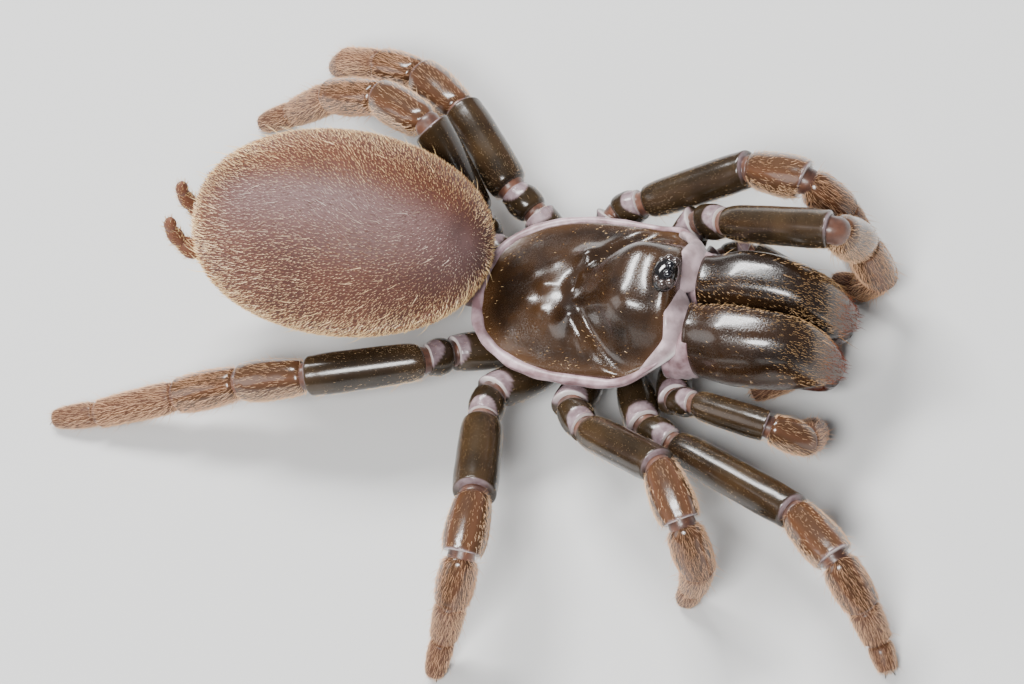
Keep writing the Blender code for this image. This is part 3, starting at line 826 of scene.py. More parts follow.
# Jaws
# The chelicerae: two heavy hollow cases of near-black shell, humped at the base and bowed
# down to the front, hinged to the head by a soft collar each.
JAW_START_X = 6.45
JAW_LENGTH = 4.3
JAW_HALF_WIDTH = 0.92
JAW_PAIR_Y = -0.1
JAW_APART = 0.06
JAW_TOP_Z = 4.50
JAW_FRONT_DROP = 1.95
JAW_FRONT_BEND = 5.4
JAW_LOW_Z = 1.8
JAW_BLUNTEST = 0.12
JAW_INNER_BLUNTNESS = 3.6
JAW_OUTER_BLUNTNESS = 2.1
HANDS = (("left", 1), ("right", -1))
JAW_SEEDS = {"left": 31, "right": 32}


def jaw_section(share):
    """Middle height, half height, half width and bluntness of a jaw at a share of its length."""
    top = JAW_TOP_Z - 0.26 * (1 - smooth_step(0.0, 0.28, share)) - JAW_FRONT_DROP * share ** JAW_FRONT_BEND
    bottom = JAW_LOW_Z + 0.25 * smooth_step(0.6, 1.0, share)
    near_front = max(0.0, (share - 0.7) / 0.3)
    blunt = max((max(0.0, 1 - near_front ** 2.7)) ** 0.5, JAW_BLUNTEST)
    narrow = 0.12 * (1 - smooth_step(0.0, 0.3, share)) + 0.2 * smooth_step(0.4, 1.0, share)
    return (top + bottom) / 2, (top - bottom) / 2 * blunt, JAW_HALF_WIDTH * (1 - narrow), blunt


jaw_bristle = bristle_material(
    "jaw bristles", (0.085, 0.018, 0.008), (0.24, 0.052, 0.020), (0.58, 0.35, 0.16),
)


def make_jaw(hand, side, shell):
    turns = full_turn(72)
    c, s = np.cos(turns), np.sin(turns)
    reach = oval_reach(c, s, np.where(c < 0, JAW_INNER_BLUNTNESS, JAW_OUTER_BLUNTNESS))
    inward = -c
    high = smooth_step(0.0, 0.6, s)
    inner_row = hump(inward - 0.5, 0.36) * high
    rings, hair, long, glow, gold, lie = [], [], [], [], [], []
    for share in np.concatenate([
        np.linspace(0.0, 0.68, 30), np.linspace(0.70, 0.96, 20), [0.972, 0.982, 0.99, 0.996],
    ]):
        middle_z, half_height, half_width, blunt = jaw_section(float(share))
        y = JAW_PAIR_Y + side * (JAW_APART + half_width * (1 + blunt * reach * c))
        rings.append(points(JAW_START_X + JAW_LENGTH * share, y, middle_z + half_height * reach * s))
        crest = hump(inward + 0.45, 0.18) * high * smooth_step(0.25, 0.5, share)
        front = smooth_step(0.5, 0.85, share) * smooth_step(-0.5, 0.3, s)
        tip = smooth_step(0.84, 0.94, share)
        bare_top = hump(inward + 0.05, 0.2) * high * smooth_step(0.8, 0.5, share)
        grown = 0.5 * inner_row + 0.25 * crest + 0.7 * front + 0.3 * tip + 0.02
        hair.append(np.clip(grown * (1 - 0.9 * bare_top), 0, 1))
        long.append(0.75 + 0.7 * smooth_step(0.7, 1.0, share) * smooth_step(0.5, -0.3, s) + 0.5 * tip)
        glow.append(0.45 * np.clip(c, 0, 1) * smooth_step(0.6, -0.3, s) + 0.5 * tip)
        gold.append(np.full(len(turns), 1.0 - smooth_step(0.84, 0.95, share)))
        lie.append(points(1.0, -side * inward * 0.2, -0.3))
    shape = Shape("hair", "long", "glow", "gold", "lie")
    shape.loft(rings, hair=hair, long=long, glow=glow, gold=gold, lie=lie)
    jaw = keep(shape.finish(f"jaw_{hand}", [shell]), "jaw", f"chelicera_{hand}")
    seed = JAW_SEEDS[hand]
    grow(
        f"jaw_bristles_{hand}", jaw, "leg_fur", jaw_bristle, 0.13, seed, spacing=0.045, most=230.0,
        thick=0.0078, lift=0.4, disorder=0.2, bend=0.2,
    )
    grow(
        f"jaw_long_hairs_{hand}", jaw, "leg_fur", jaw_bristle, 0.5, seed + 4, spacing=0.4, most=2.4,
        thick=0.011, lift=0.7, disorder=0.4, bend=0.1, joints=4,
    )


def make_jaws():
    shell = shell_material("jaw shell", (0.0130, 0.0066, 0.0032), (0.034, 0.0150, 0.0058), 0.21, 0.6)
    for hand, side in HANDS:
        make_jaw(hand, side, shell)


make_jaws()


# Collars of the jaws
# Each jaw hangs from the head by a cuff of folded skin, lilac to almost white, that shows
# as a pale band between the shield and the jaw.
CUFF_START_X = 5.75
CUFF_LENGTH = 0.86
CUFF_LOW_Z = 1.95
CUFF_TOP_Z = 3.45
CUFF_TOP_RISE = 0.62
CUFF_BLUNTNESS = 2.4
BAND_TURNS = (2.0, 51.0)
BAND_FACES = (0.80, 0.0, 0.60)


def cuff_rings(side):
    """The cuff itself, from inside the head to inside the jaw's base."""
    turns = full_turn(64)
    c, s = np.cos(turns), np.sin(turns)
    reach = oval_reach(c, s, CUFF_BLUNTNESS)
    half_width = jaw_section(0.06)[2]
    rings = []
    for share in np.linspace(0, 1, 18):
        swell = 1.0 + 0.07 * math.sin(math.pi * share) + 0.02 * math.sin(share * 20)
        top = CUFF_TOP_Z + CUFF_TOP_RISE * smooth_step(0.1, 0.9, share)
        bulge = side * half_width * swell * (0.97 + 0.05 * (1 - share)) * reach * c
        y = JAW_PAIR_Y + side * (0.13 + half_width) + bulge
        z = (top + CUFF_LOW_Z) / 2 + (top - CUFF_LOW_Z) / 2 * swell * reach * s
        rings.append(points(CUFF_START_X + CUFF_LENGTH * share, y, z))
    return rings


def front_band(side):
    """The pale band along the head's front edge, with how white it is."""
    turned = np.radians(np.linspace(*BAND_TURNS, 70)) * side
    x, y = shield_edge(turned)
    along = np.linspace(0, 1, len(turned))
    bow = np.sin(math.pi * along)
    foot = margin_height(x) - 0.15
    head = shield_top(x * 0.94, y * 0.94, np.full(len(turned), 0.94))
    half = 0.5 * (head - foot) * (0.92 + 0.1 * bow)
    least = 0.2 + 0.1 * bow
    half = (least + soft_ramp(half - least, 0.12)) * np.sin(math.pi * (0.04 + 0.93 * along)) ** 0.25
    lean = 0.06 + 0.16 * np.sin(math.pi * np.clip(along * 1.05, 0, 1)) ** 2
    path = points(x + SHIELD_MIDDLE_X + lean, y, foot + half - 0.12 * along)
    sheet = tube(path, half, 0.10 + 0.05 * bow, BAND_FACES, 20)
    low_share = smooth_step(0.2, -0.8, (sheet[..., 2] - path[:, 2:]) / half[:, None])
    return sheet, -0.15 - 1.7 * (smooth_step(0.25, 0.7, along)[:, None] * low_share)


def make_collars():
    for hand, side in HANDS:
        shape = Shape("stretched")
        shape.loft(cuff_rings(side), stretched=0.0)
        band, whiteness = front_band(side)
        shape.loft(band, stretched=whiteness)
        keep(shape.finish(f"collar_{hand}", [membrane]), "soft_skin")


make_collars()


# Fangs
# Each jaw folds a long curved fang back under itself: glossy, red-black, and hollow in life.
# Its base turns up into the jaw's front end.
FANG_BASE_X = 10.0
FANG_LENGTH = 3.3
FANG_ASIDE = 0.78
FANG_LOW_Z = 1.5
FANG_RISE_INTO_JAW = 0.75
FANG_RADIUS = 0.29


def make_fangs():
    shell = shell_material("fang shell", (0.018, 0.006, 0.004), (0.06, 0.016, 0.008), 0.18, 1.2)
    for hand, side in HANDS:
        shares = np.linspace(0, 1, 44)
        turned_up = (1 - smooth_step(0.0, 0.2, shares)) ** 1.5
        knuckle = 0.25 * np.sin(math.pi * np.clip(shares / 0.2, 0, 1))
        path = points(
            FANG_BASE_X + knuckle - FANG_LENGTH * np.clip((shares - 0.08) / 0.92, 0, 1),
            JAW_PAIR_Y + side * (FANG_ASIDE - 0.2 * shares),
            FANG_LOW_Z + FANG_RISE_INTO_JAW * turned_up - 0.36 * np.sin(math.pi * shares) + 0.1 * shares,
        )
        thick = FANG_RADIUS * (1 - 0.93 * shares ** 1.2)
        shape = Shape("glow")
        shape.loft(tube(path, thick, thick, (0, 0, 1), 18), glow=0.2)
        keep(shape.finish(f"curved_fang_{hand}", [shell]), "jaw", f"fang_{hand}")


make_fangs()


# Legs and feelers
# Each limb is a row of hard tubes: hip, ring, thigh, knee, shin, and two foot joints with
# claws. Soft skin closes the joints, and each tube ends in a pale lip.
LIMB_START = {
    "1": (4.4, 1.42, 1.35), "2": (3.2, 1.5, 1.1), "3": (2.0, 1.5, 1.28), "4": (0.95, 0.95, 1.35),
    "palp": (5.5, 0.82, 1.15),
}
LIMB_LENGTHS = {
    "1": (2.35, 1.1, 4.5, 2.3, 1.6, 1.5, 0.9), "2": (2.1, 1.0, 3.4, 2.1, 1.6, 1.6, 1.1),
    "3": (2.25, 1.0, 2.95, 2.1, 1.5, 1.75, 1.25), "4": (2.0, 0.95, 3.4, 2.3, 2.15, 2.7, 1.5),
    "palp": (2.1, 0.9, 2.5, 1.3, 1.35, 1.35),
}
LIMB_RADII = {
    "1": (0.5, 0.44, 0.48, 0.52, 0.48, 0.41, 0.34), "2": (0.5, 0.44, 0.48, 0.52, 0.48, 0.41, 0.34),
    "3": (0.5, 0.45, 0.56, 0.52, 0.47, 0.4, 0.34), "4": (0.5, 0.45, 0.51, 0.5, 0.48, 0.42, 0.35),
    "palp": (0.45, 0.36, 0.39, 0.4, 0.4, 0.35),
}
# For each tube, how far it turns outwards from straight ahead and how steeply it rises.
STANCE = {
    "leg_1_right": ((61, 20), (27, 6), (23.5, 5), (42, 15), (44, -50), (49, -74), (60,)),
    "leg_2_right": ((88, 38), (46, 8), (27.5, 21), (56, 7), (61, -62), (200, -71), (180,)),
    "leg_3_right": ((124, 32), (86, 12), (76, 15), (82, 10), (108, -49), (146, -69), (110,)),
    "leg_4_right": ((153, 20), (125, 37), (162, 2), (177, -18), (170, -18), (169, -18), (172,)),
    "leg_1_left": ((58, 32), (-12, 27), (-14, 28), (80, -68), (-20, -78), (165, -55), (170,)),
    "leg_2_left": ((104, 22), (14, 25), (18.5, 16), (-15, 19), (-7, -56), (-7, -80), (175,)),
    "leg_3_left": ((134, 17), (148, 13), (134, 10), (144, -10), (164, -12), (160, -30), (160,)),
    "leg_4_left": ((148, 11), (122, -7), (134, 60), (151, -15), (168, -27), (166, -48), (182,)),
    "palp_right": ((69, 32), (17, 29), (15, 10), (-12, -46), (-101, -50), (-149,)),
    "palp_left": ((80, -3), (20, -5), (-22, -5), (-75, -13), (-115, -3), (-150,)),
}
# How thick a limb's tip is, as a share of its last radius.
TIP_SHARE = 0.62
# The polished shell is a little fuller than the plain solid.
FULLER = 1.10
# How far the shell stops short of each joint, from the hip outwards.
JOINT_CLEAR = (0.0, 0.05, 0.05, 0.025)
MOST_CLEAR_SHARE = 0.3
SHARPEST_BEND = 1.9
# The steepest cut across the end of a tube, as a slope.
MOST_MITRE = 0.7


def angle_between(first, second):
    return math.acos(max(-1.0, min(1.0, float(first @ second))))


class Limb:
    """A limb's joints in drawing millimetres, with the axis and the level side of each tube."""

    def __init__(self, name):
        part, hand = name.rsplit("_", 1)
        self.name, self.kind = name, part.split("_")[-1]
        self.lengths = LIMB_LENGTHS[self.kind]
        self.radii = [radius * FULLER for radius in LIMB_RADII[self.kind]]
        self.count = len(self.radii)
        side = 1 if hand == "left" else -1
        x, y, z = LIMB_START[self.kind]
        self.joints, self.sides = [np.array([x, side * y, z])], []
        for length, pose in zip(self.lengths, STANCE[name]):
            turn = math.radians(pose[0])
            rise = math.radians(pose[1]) if len(pose) == 2 else self.rise_to_floor(length)
            self.sides.append(np.array([-side * math.sin(turn), math.cos(turn), 0.0]))
            flat = math.cos(rise)
            ahead = np.array([flat * math.cos(turn), side * flat * math.sin(turn), math.sin(rise)])
            self.joints.append(self.joints[-1] + ahead * length)
        self.axes = [(b - a) / np.linalg.norm(b - a) for a, b in zip(self.joints, self.joints[1:])]
        self.clear = [0.0]
        for i in range(1, self.count):
            bend = min(angle_between(self.axes[i - 1], self.axes[i]), SHARPEST_BEND)
            spur = max(0.0, math.tan(bend / 2) - MOST_MITRE)
            self.clear.append(JOINT_CLEAR[min(i, 3)] + 0.4 * self.radii[i] * spur)
        self.clear.append(0.0)

    def rise_to_floor(self, length):
        """How steeply the last tube rises so that its tip rests on the floor."""
        rise = 0.0
        for _ in range(4):
            tip = 0.9 * LIMB_RADII[self.kind][-1] * TIP_SHARE * math.cos(rise)
            rise = math.asin(max(-0.98, min(0.2, (tip - self.joints[-1][2]) / length)))
        return rise

    def from_joint(self, joint, i, further=0.0):
        """The place in tube i where its shell stops short of one of its joints, or further in."""
        clear = min(self.clear[joint], MOST_CLEAR_SHARE * self.lengths[i]) + further
        return self.joints[joint] + self.axes[i] * clear * (1 if joint == i else -1)

    def slides(self, i, radial, shares):
        """How far each point slides along the tube, so that neighbours meet on one plane."""
        zone = min(0.45, 1.5 * self.radii[i] / self.lengths[i])
        for other, weight in (
            (self.axes[max(i - 1, 0)], np.clip(1 - shares / zone, 0, 1) ** 1.2),
            (self.axes[min(i + 1, self.count - 1)], np.clip((shares - 1 + zone) / zone, 0, 1) ** 1.2),
        ):
            together = 1.0 + float(self.axes[i] @ other)
            steepness = math.sqrt(max(0.0, 2.0 / together - 1.0))
            eased = min(1.0, MOST_MITRE / max(steepness, 1e-6))
            slide = -(radial @ other) / together * eased * weight[:, None]
            yield self.axes[i] * slide[..., None]


def through(keys, shares):
    """A smooth curve through (share, value) keys."""
    x, y = np.array(keys, float).T
    slope = np.gradient(y, x)
    i = np.clip(np.searchsorted(x, shares, side="right") - 1, 0, len(x) - 2)
    span = x[i + 1] - x[i]
    t = (shares - x[i]) / span
    return (
        (2 * t ** 3 - 3 * t ** 2 + 1) * y[i] + (t ** 3 - 2 * t ** 2 + t) * span * slope[i]
        + (-2 * t ** 3 + 3 * t ** 2) * y[i + 1] + (t ** 3 - t ** 2) * span * slope[i + 1]
    )


# How full each tube is along its length: hip, ring, thigh, knee, shin, foot, toe.
TUBE_SHAPES = (
    ((0, 0.7), (0.3, 0.95), (0.7, 1.02), (0.92, 0.95), (1, 0.86)),
    ((0, 0.8), (0.3, 1.0), (0.6, 1.05), (1, 0.86)),
    ((0, 0.80), (0.10, 0.93), (0.3, 1.0), (0.6, 1.03), (0.85, 1.04), (0.95, 1.0), (1, 0.95)),
    ((0, 0.72), (0.12, 0.88), (0.4, 1.02), (0.7, 1.08), (0.88, 1.03), (0.97, 0.95), (1, 0.90)),
    ((0, 0.80), (0.15, 0.92), (0.45, 1.02), (0.75, 1.02), (0.95, 0.94), (1, 0.9)),
    ((0, 0.86), (0.2, 0.98), (0.5, 0.97), (0.85, 0.9), (1, 0.84)),
    ((0, 0.88), (0.3, 0.94), (0.6, 0.88), (0.85, 0.76), (1, 0.6)),
)


def tube_values(kind, shares, over):
    """Hair, its length and bareness on a tube; over is 0 on its top and pi underneath."""
    s, a = np.meshgrid(shares, over, indexing="ij")
    ones = np.ones_like(s)
    under = hump(np.pi - a, 1.05)
    crest = hump(a, 0.3)
    stripes = hump(a - 0.62, 0.24)
    sides = smooth_step(0.85, 1.3, a)
    if kind == 0:
        return 0.10 * ones + 0.15 * under, 0.3 + 0.6 * under, 0.0 * ones
    if kind == 1:
        return 0.10 * ones + 0.25 * under, 0.3 + 0.8 * under, 0.0 * ones
    if kind == 2:
        rows = hump(a - 0.35, 0.2)
        near_hip = smooth_step(0.45, 0.1, s)
        return 0.3 * rows + 0.42 * under + 0.5 * near_hip + 0.07, 0.22 + 1.2 * under, 0.1 * stripes
    if kind == 3:
        return 0.3 * crest + 1.0 * sides + 0.16, 0.7 + 0.5 * under, 0.45 + 0.45 * stripes
    if kind == 4:
        return 0.5 * crest + 0.95 * sides + 0.5, 0.85 + 0.4 * under, 0.4 + 0.45 * stripes
    near = smooth_step(0.5, 0.0, s) if kind == 5 else 0.0 * s
    return (0.95 - 0.6 * stripes * near) * ones, (0.95 - 0.2 * (kind - 5)) * ones, 0.0 * ones


# Where the pale lip of each tube begins, how softly it does, and how pale it is.
LIP_FROM = (0.80, 0.58, 0.98, 0.965, 0.975)
LIP_SOFTNESS = (0.035, 0.07, 0.015, 0.015, 0.02)
LIP_PALENESS = (1.0, 1.0, 0.2, 0.5, 0.2)
# How white the very edge of each lip is.
EDGE_WHITENESS = (0.7, 0.7, 0.75, 1.0, 0.5)


def bend_between(before, joint, after, steps):
    """Points of an even bend from one point past the joint to the other."""
    t = np.linspace(0, 1, steps)[:, None]
    return (1 - t) ** 2 * before + 2 * t * (1 - t) * joint + t ** 2 * after


# How golden the bristles of each tube are.
GOLD_SHARE = (1.0, 1.0, 1.0, 0.6, 0.4, 0.5)
# How long the round start of a tube is, as a share of its radius.
DOME_SHARE = 0.4
# How much longer it is where the limb bends sharply.
KNEE_DOME = 0.7
LONGEST_DOME = 0.35
# How full the last four rings of a tube are: drawn in to a lip, or to the tip of the limb.
LIP_RINGS = (1.03, 1.035, 1.0, 0.86)
TIP_RINGS = (0.95, 0.86, 0.68, 0.4)
# How far the joint skin reaches into the tubes on both sides, and how thick it is there.
SKIN_TUCK = 0.16
SKIN_THICKNESS = (0.76, 0.70)
CLAW_LIFT = 0.036
CLAW_RADIUS = 0.035
CLAWS_ASIDE = 0.11


def loft_tube(shape, limb, i):
    """One hard tube of a limb, with its coat, its bare stripes and the lip at its end."""
    turns = full_turn(40)
    over = np.arccos(np.clip(np.sin(turns), -1, 1))
    piece = i if limb.count == 7 or i < 5 else 6
    last = i == limb.count - 1
    start, end = limb.from_joint(i, i), limb.from_joint(i + 1, i)
    bend = angle_between(limb.axes[max(i - 1, 0)], limb.axes[i])
    rounded = DOME_SHARE + KNEE_DOME * float(smooth_step(0.8, 1.5, bend))
    dome = min(LONGEST_DOME, rounded * limb.radii[i] / limb.lengths[i])
    rise = np.sin(np.linspace(0.12, math.pi / 2, 7))
    shares = np.concatenate([
        dome * (1 - np.sqrt(1 - rise[:-1] ** 2)), np.linspace(dome, 0.94, 20), [0.97, 0.985, 0.995, 1.0],
    ])
    closing = np.ones_like(shares)
    closing[:6] = rise[:-1]
    closing[-4:] = TIP_RINGS if last else LIP_RINGS
    full = through(TUBE_SHAPES[piece], shares) * limb.radii[i] * closing
    depth = 1.06 if i in (1, 2) else 1.0
    up = np.cross(limb.axes[i], limb.sides[i])
    across = limb.sides[i][None, None] * np.cos(turns)[None, :, None]
    radial = (across + up[None, None] * (depth * np.sin(turns))[None, :, None]) * full[:, None, None]
    rings = (start[None] + (end - start)[None] * shares[:, None])[:, None] + radial
    for slide in limb.slides(i, radial, shares):
        rings = rings + slide
    rings[..., 2] = np.maximum(rings[..., 2], 0.0)
    hair, long, bare = tube_values(piece, shares, over)
    ends = smooth_step(0.0, 0.03, shares)
    if not last:
        ends = smooth_step(0.0, 0.06, shares) * smooth_step(1.0, 0.96, shares)
    lip = 0.0
    if i < 5:
        aside = smooth_step(0.2, 1.6, over)[None]
        past = shares[:, None] - LIP_FROM[i] - (1.0 - LIP_FROM[i]) * aside
        edge = smooth_step(0.985, 0.993, shares)[:, None]
        lip = smooth_step(0.0, LIP_SOFTNESS[i], past) * LIP_PALENESS[i]
        lip = lip + edge * EDGE_WHITENESS[i] * (1.0 - aside)
    shape.loft(
        rings, patch=(0.0, i / limb.count, 1.0, (i + 1) / limb.count), hair=hair * ends[:, None],
        long=long, bare=bare, lip=lip, dull=float(i >= limb.count - 2), gold=GOLD_SHARE[min(i, 5)],
        lie=limb.axes[i],
    )


def loft_joint_skin(shape, limb, i):
    """The soft sleeve of one joint, tucked into the tubes on both sides."""
    before, after = limb.from_joint(i, i - 1, SKIN_TUCK), limb.from_joint(i, i, SKIN_TUCK)
    path = bend_between(before, limb.joints[i], after, 12)
    first, second = SKIN_THICKNESS
    thick = np.linspace(limb.radii[i - 1] * first, limb.radii[i] * second, 12)
    thick = thick * (1 + 0.04 * np.sin(np.linspace(0, 3 * math.pi, 12)))
    sleeve = tube(path, thick, thick, np.cross(limb.axes[i], limb.sides[i]), 20)
    sleeve[..., 2] = np.maximum(sleeve[..., 2], 0.0)
    shape.loft(sleeve, stretched=1.0)


def make_claws(limb, claw_shell):
    """Two claws at the tip of a leg, and one on a feeler."""
    claws = Shape("glow")
    tip, ahead, flat_side = limb.joints[-1], limb.axes[-1], limb.sides[-1]
    t = np.linspace(0, 1, 10)[:, None]
    for aside in ((-CLAWS_ASIDE, CLAWS_ASIDE) if limb.kind != "palp" else (0.0,)):
        start = tip - ahead * 0.06 + flat_side * aside * 0.7
        reach = start + ahead * 0.2 * t + flat_side * aside * 0.6 * t
        reach[:, 2] = np.maximum(CLAW_LIFT, reach[:, 2] + 0.05 - 0.14 * t[:, 0] ** 2)
        thick = CLAW_RADIUS * (1 - 0.85 * t[:, 0])
        claws.loft(tube(reach, thick, thick, (0, 0, 1), 8), glow=0.0)
    keep(claws.finish(f"{limb.name}_claws", [claw_shell]), "jaw")


def make_limb(number, name, claw_shell):
    limb = Limb(name)
    shell, skin = Shape("hair", "long", "lip", "bare", "dull", "gold", "lie"), Shape("stretched")
    for i in range(limb.count):
        loft_tube(shell, limb, i)
        if i > 0:
            loft_joint_skin(skin, limb, i)
    nodes = [f"{name}_{part}" for part in ("coxa", "femur", "tibia", "tarsus")]
    legs = keep(shell.finish(f"{name}_shell", [limb_shell]), "leg_shell", *nodes)
    keep(skin.finish(f"{name}_joint_skin", [membrane]), "soft_skin")
    grow(
        f"{name}_bristles", legs, "leg_fur", orange_bristle, 0.23, 100 + number, spacing=0.037,
        most=320.0, thick=0.0085, lift=0.42, disorder=0.22, bend=0.22,
    )
    grow(
        f"{name}_long_hairs", legs, "leg_fur", orange_bristle, 0.5, 200 + number, spacing=0.14,
        most=13.0, thick=0.0085, lift=0.95, disorder=0.35, bend=0.2, joints=4,
    )
    make_claws(limb, claw_shell)


orange_bristle = bristle_material(
    "orange bristles", (0.24, 0.080, 0.040), (0.76, 0.360, 0.20), (0.88, 0.60, 0.34),
)


def make_limbs():
    claw_shell = shell_material("claw shell", (0.008, 0.005, 0.004), (0.03, 0.012, 0.006), 0.25, 2.0)
    for number, limb in enumerate(STANCE):
        make_limb(number, limb, claw_shell)


make_limbs()


# Waist
# A short soft stalk between the body and the abdomen, of the same skin as the joints.
WAIST_FRONT = np.array([0.75, 0.0, 1.75])
WAIST_REAR = np.array([-0.75, 0.05, 2.35])
WAIST_RADIUS = 0.35


def make_waist():
    t = np.linspace(0, 1, 16)[:, None]
    path = (1 - t) * WAIST_FRONT + t * WAIST_REAR
    thick = WAIST_RADIUS + 0.03 * np.sin(np.linspace(0, 5 * math.pi, 16))
    shape = Shape("stretched")
    shape.loft(tube(path, thick, thick, (0, 0, 1), 24), stretched=0.8)
    keep(shape.finish("waist", [membrane]), "soft_skin", "pedicel")


make_waist()


# Abdomen
# A soft egg of skin filled with fluid, reddish brown, velvety with short hair that lies
# towards the rear. Underneath, near the waist, are the paler covers of the two lung pairs.
# A band of painted sheen, lilac, runs along its upper near flank.
ABDOMEN_MIDDLE = (-4.0, 0.3, 4.43)
ABDOMEN_LENGTH = 8.9
ABDOMEN_HALF_WIDTH = 3.05
ABDOMEN_HALF_HEIGHT = 2.8
COAT_DEPTH = 0.09
SKIN_DARK, SKIN_LIGHT = (0.055, 0.016, 0.009), (0.100, 0.032, 0.018)
# A lilac colour painted on the skin as sheen, along the upper near flank.
PAINTED_SHEEN_LILAC = (0.150, 0.088, 0.084)
LUNG_COVER = (0.30, 0.13, 0.075)
# The covers of the two lung pairs: how far ahead and aside of the abdomen's middle they are.
LUNG_PLACES = ((2.7, 1.45), (1.1, 1.25))
LUNG_SIZE = (0.6, 0.7)


def abdomen_material():
    made, tree, shader = new_material(
        "abdomen skin", Roughness=0.55, Specular_IOR_Level=0.25, Sheen_Weight=0.08,
        Sheen_Roughness=0.4, Sheen_Tint=(0.75, 0.68, 0.8, 1.0),
    )
    clouds, _ = grain(tree, 0.5)
    nap, bumped = grain(tree, 9.0, 0.8, 0.03, (0.35, 1.3, 1.3))
    brown = between(tree, spread_over(tree, clouds, 0.35, 0.65), SKIN_DARK, SKIN_LIGHT)
    # Where the gold share is low, the skin takes the lilac of a painted sheen.
    skin_with_painted_sheen = between(tree, stored_share(tree, "gold"), PAINTED_SHEEN_LILAC, brown)
    wire(
        tree, shader, Base_Color=between(tree, stored_share(tree, "plate"), skin_with_painted_sheen, LUNG_COVER),
        Normal=bumped, Roughness=spread_over(tree, nap, 0.3, 0.7, 0.48, 0.64),
    )
    return made


abdomen_skin = abdomen_material()
fur = bristle_material(
    "abdomen fur", (0.060, 0.024, 0.017), (0.40, 0.250, 0.225), (0.24, 0.098, 0.046), 0.4,
)
# Where the gold share is low these hairs take pale lilac colours: painted glints of the sheen band.
# Elsewhere they are golden.
golden_hair = bristle_material(
    "golden abdomen hairs", (0.52, 0.41, 0.38), (0.95, 0.84, 0.80), (0.98, 0.68, 0.33), 0.26,
)


def make_abdomen():
    around, along = 144, 96
    falls = np.linspace(0, math.pi, along + 2)[1:-1]
    a, t = np.meshgrid(falls, full_turn(around), indexing="ij")
    full = np.sin(a) ** 0.9 * (1 - 0.03 * np.cos(a))
    x = (ABDOMEN_LENGTH / 2 - COAT_DEPTH) * np.cos(a)
    y = (ABDOMEN_HALF_WIDTH - COAT_DEPTH) * full * np.cos(t)
    z = (ABDOMEN_HALF_HEIGHT - COAT_DEPTH) * full * np.sin(t)
    aside = np.abs(y)
    dimple = bump_share(x - 4.0, y + 0.2, (0.3, 0.45)) * (z > 0)
    spots = bump_share(np.abs(x - 0.9) - 1.0, aside - 0.75, (0.28, 0.2)) * (z > 0)
    covers = sum(bump_share(x - at_x, aside - at_y, LUNG_SIZE) for at_x, at_y in LUNG_PLACES)
    lungs = np.clip((z < 0) * covers, 0, 1)
    furrow = (z < 0) * hump(x - 1.8, 0.12) * smooth_step(2.4, 1.6, aside)
    press = 1 - 0.03 * dimple - 0.012 * spots + 0.012 * lungs - 0.03 * furrow
    rings = points(x * press, y * press, z * press) + ABDOMEN_MIDDLE
    side_share = smooth_step(0.5, -0.35, np.sin(t))
    rear_share = smooth_step(-1.2, -4.2, x)
    # A painted sheen: a band along the upper near flank lowers the gold share, so the skin and the hairs
    # there take pale lilac colours.
    near_flank = smooth_step(1.0, -0.4, y) * smooth_step(-0.9, 1.0, z) * smooth_step(-4.2, -2.2, x)
    painted_sheen = near_flank * (0.2 + 0.8 * hump(y + 0.5, 1.1))
    gold = np.clip(1.0 - 0.85 * painted_sheen + 0.1 * side_share, 0, 1)
    swirl = 0.5 * np.sin(x * 1.3 + 0.6) * hump(y, 1.6)
    swirl = swirl + 0.35 * np.sin(y * 2.1) * smooth_step(1.0, 3.6, x)
    lie = points(-1.0, swirl, -0.25 * side_share)
    lie *= (0.75 + 0.5 * side_share + 0.25 * painted_sheen)[..., None]
    hair = np.clip(1.0 - 0.75 * dimple - 0.75 * lungs, 0, 1)
    long = 0.85 + 0.25 * side_share + 0.45 * rear_share
    shape = Shape("hair", "long", "gold", "plate", "lie")
    shape.loft(rings, hair=hair, long=long, gold=gold, plate=lungs * 0.9, lie=lie)
    return keep(shape.finish("abdomen_skin", [abdomen_skin]), "abdomen_skin", "abdomen")


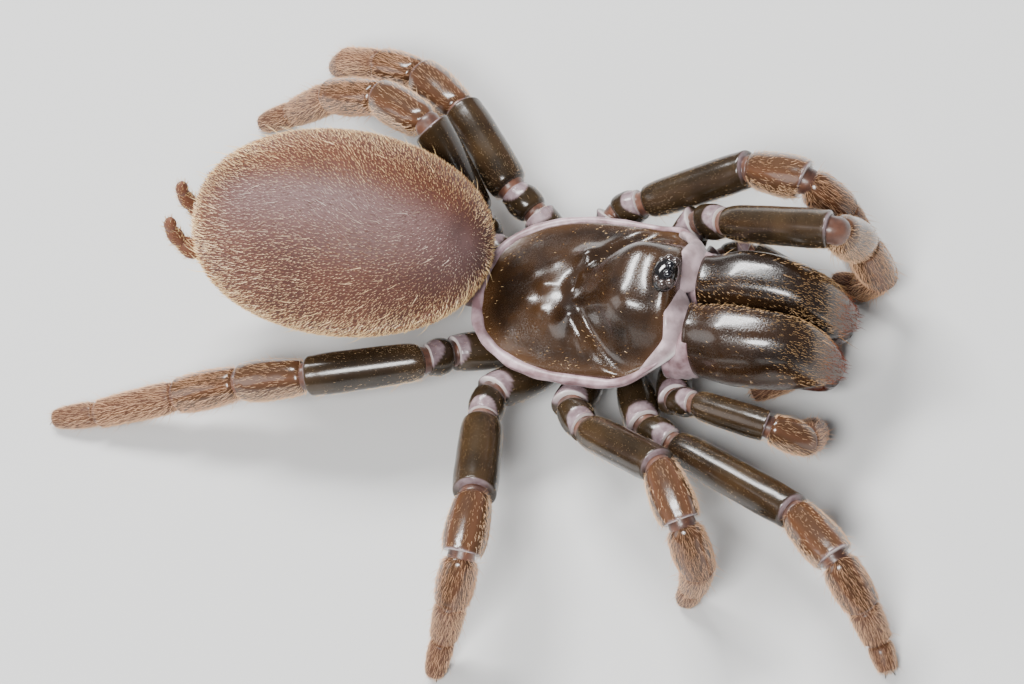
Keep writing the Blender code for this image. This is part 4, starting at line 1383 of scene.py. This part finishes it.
abdomen = make_abdomen()
for number in (1, 2):
    grow(
        f"abdomen_fur_{number}", abdomen, "abdomen_skin", fur, 0.16, 300 + number, spacing=0.075,
        most=75.0, thick=0.010, lift=0.5, disorder=0.22, bend=0.22,
    )
    grow(
        f"abdomen_golden_hairs_{number}", abdomen, "abdomen_skin", golden_hair, 0.105, 320 + number,
        spacing=0.072, most=95.0, thick=0.0090, lift=1.25, disorder=0.24, bend=0.2,
    )
grow(
    "abdomen_long_hairs", abdomen, "abdomen_skin", golden_hair, 0.5, 310, spacing=0.3, most=3.0,
    thick=0.012, lift=0.7, disorder=0.3, bend=0.3, joints=4,
)


# Spinnerets
# Two long jointed silk spigots rise from the rear end; they are soft, brown and hairy. The
# smaller ones that lie between them in life are hidden in the photograph and left out.
SPIGOT_PLACES = (("left", 0.85), ("right", -0.35))
# How far back and how high each bend of a spigot is, after its root.
SPIGOT_BENDS = ((-8.55, 3.35), (-8.93, 3.9), (-9.05, 4.6), (-8.88, 5.18))
SPIGOT_RADIUS = 0.27


def make_spinnerets():
    for hand, y in SPIGOT_PLACES:
        shape = Shape("hair", "long", "gold", "plate", "lie")
        bends = np.array([(-8.0, y * 0.9 + 0.03, 3.15)] + [(x, y, z) for x, z in SPIGOT_BENDS])
        for i, (start, end) in enumerate(zip(bends, bends[1:])):
            shares = np.linspace(0, 1, 12)
            path = start[None] + (end - start)[None] * shares[:, None]
            radius = SPIGOT_RADIUS * (1 - 0.18 * max(0, i - 1))
            keys = ((0, 0.75), (0.15, 0.95), (0.6, 1.0), (1, 0.7 if i < 3 else 0.3))
            thick = radius * through(keys, shares)
            shape.loft(
                tube(path, thick, thick, (0, 1, 0), 20), patch=(0.0, i / 4, 1.0, (i + 1) / 4),
                hair=1.0, long=1.0, gold=1.0, plate=0.45, lie=(end - start) / np.linalg.norm(end - start),
            )
        spigot = keep(shape.finish(f"spigot_{hand}", [abdomen_skin]), "abdomen_skin", f"spinneret_{hand}")
        grow(
            f"spigot_bristles_{hand}", spigot, "abdomen_skin", golden_hair, 0.24, 400 + int(y > 0),
            spacing=0.06, most=110.0, thick=0.011, lift=0.8, disorder=0.3, bend=0.2,
        )


make_spinnerets()
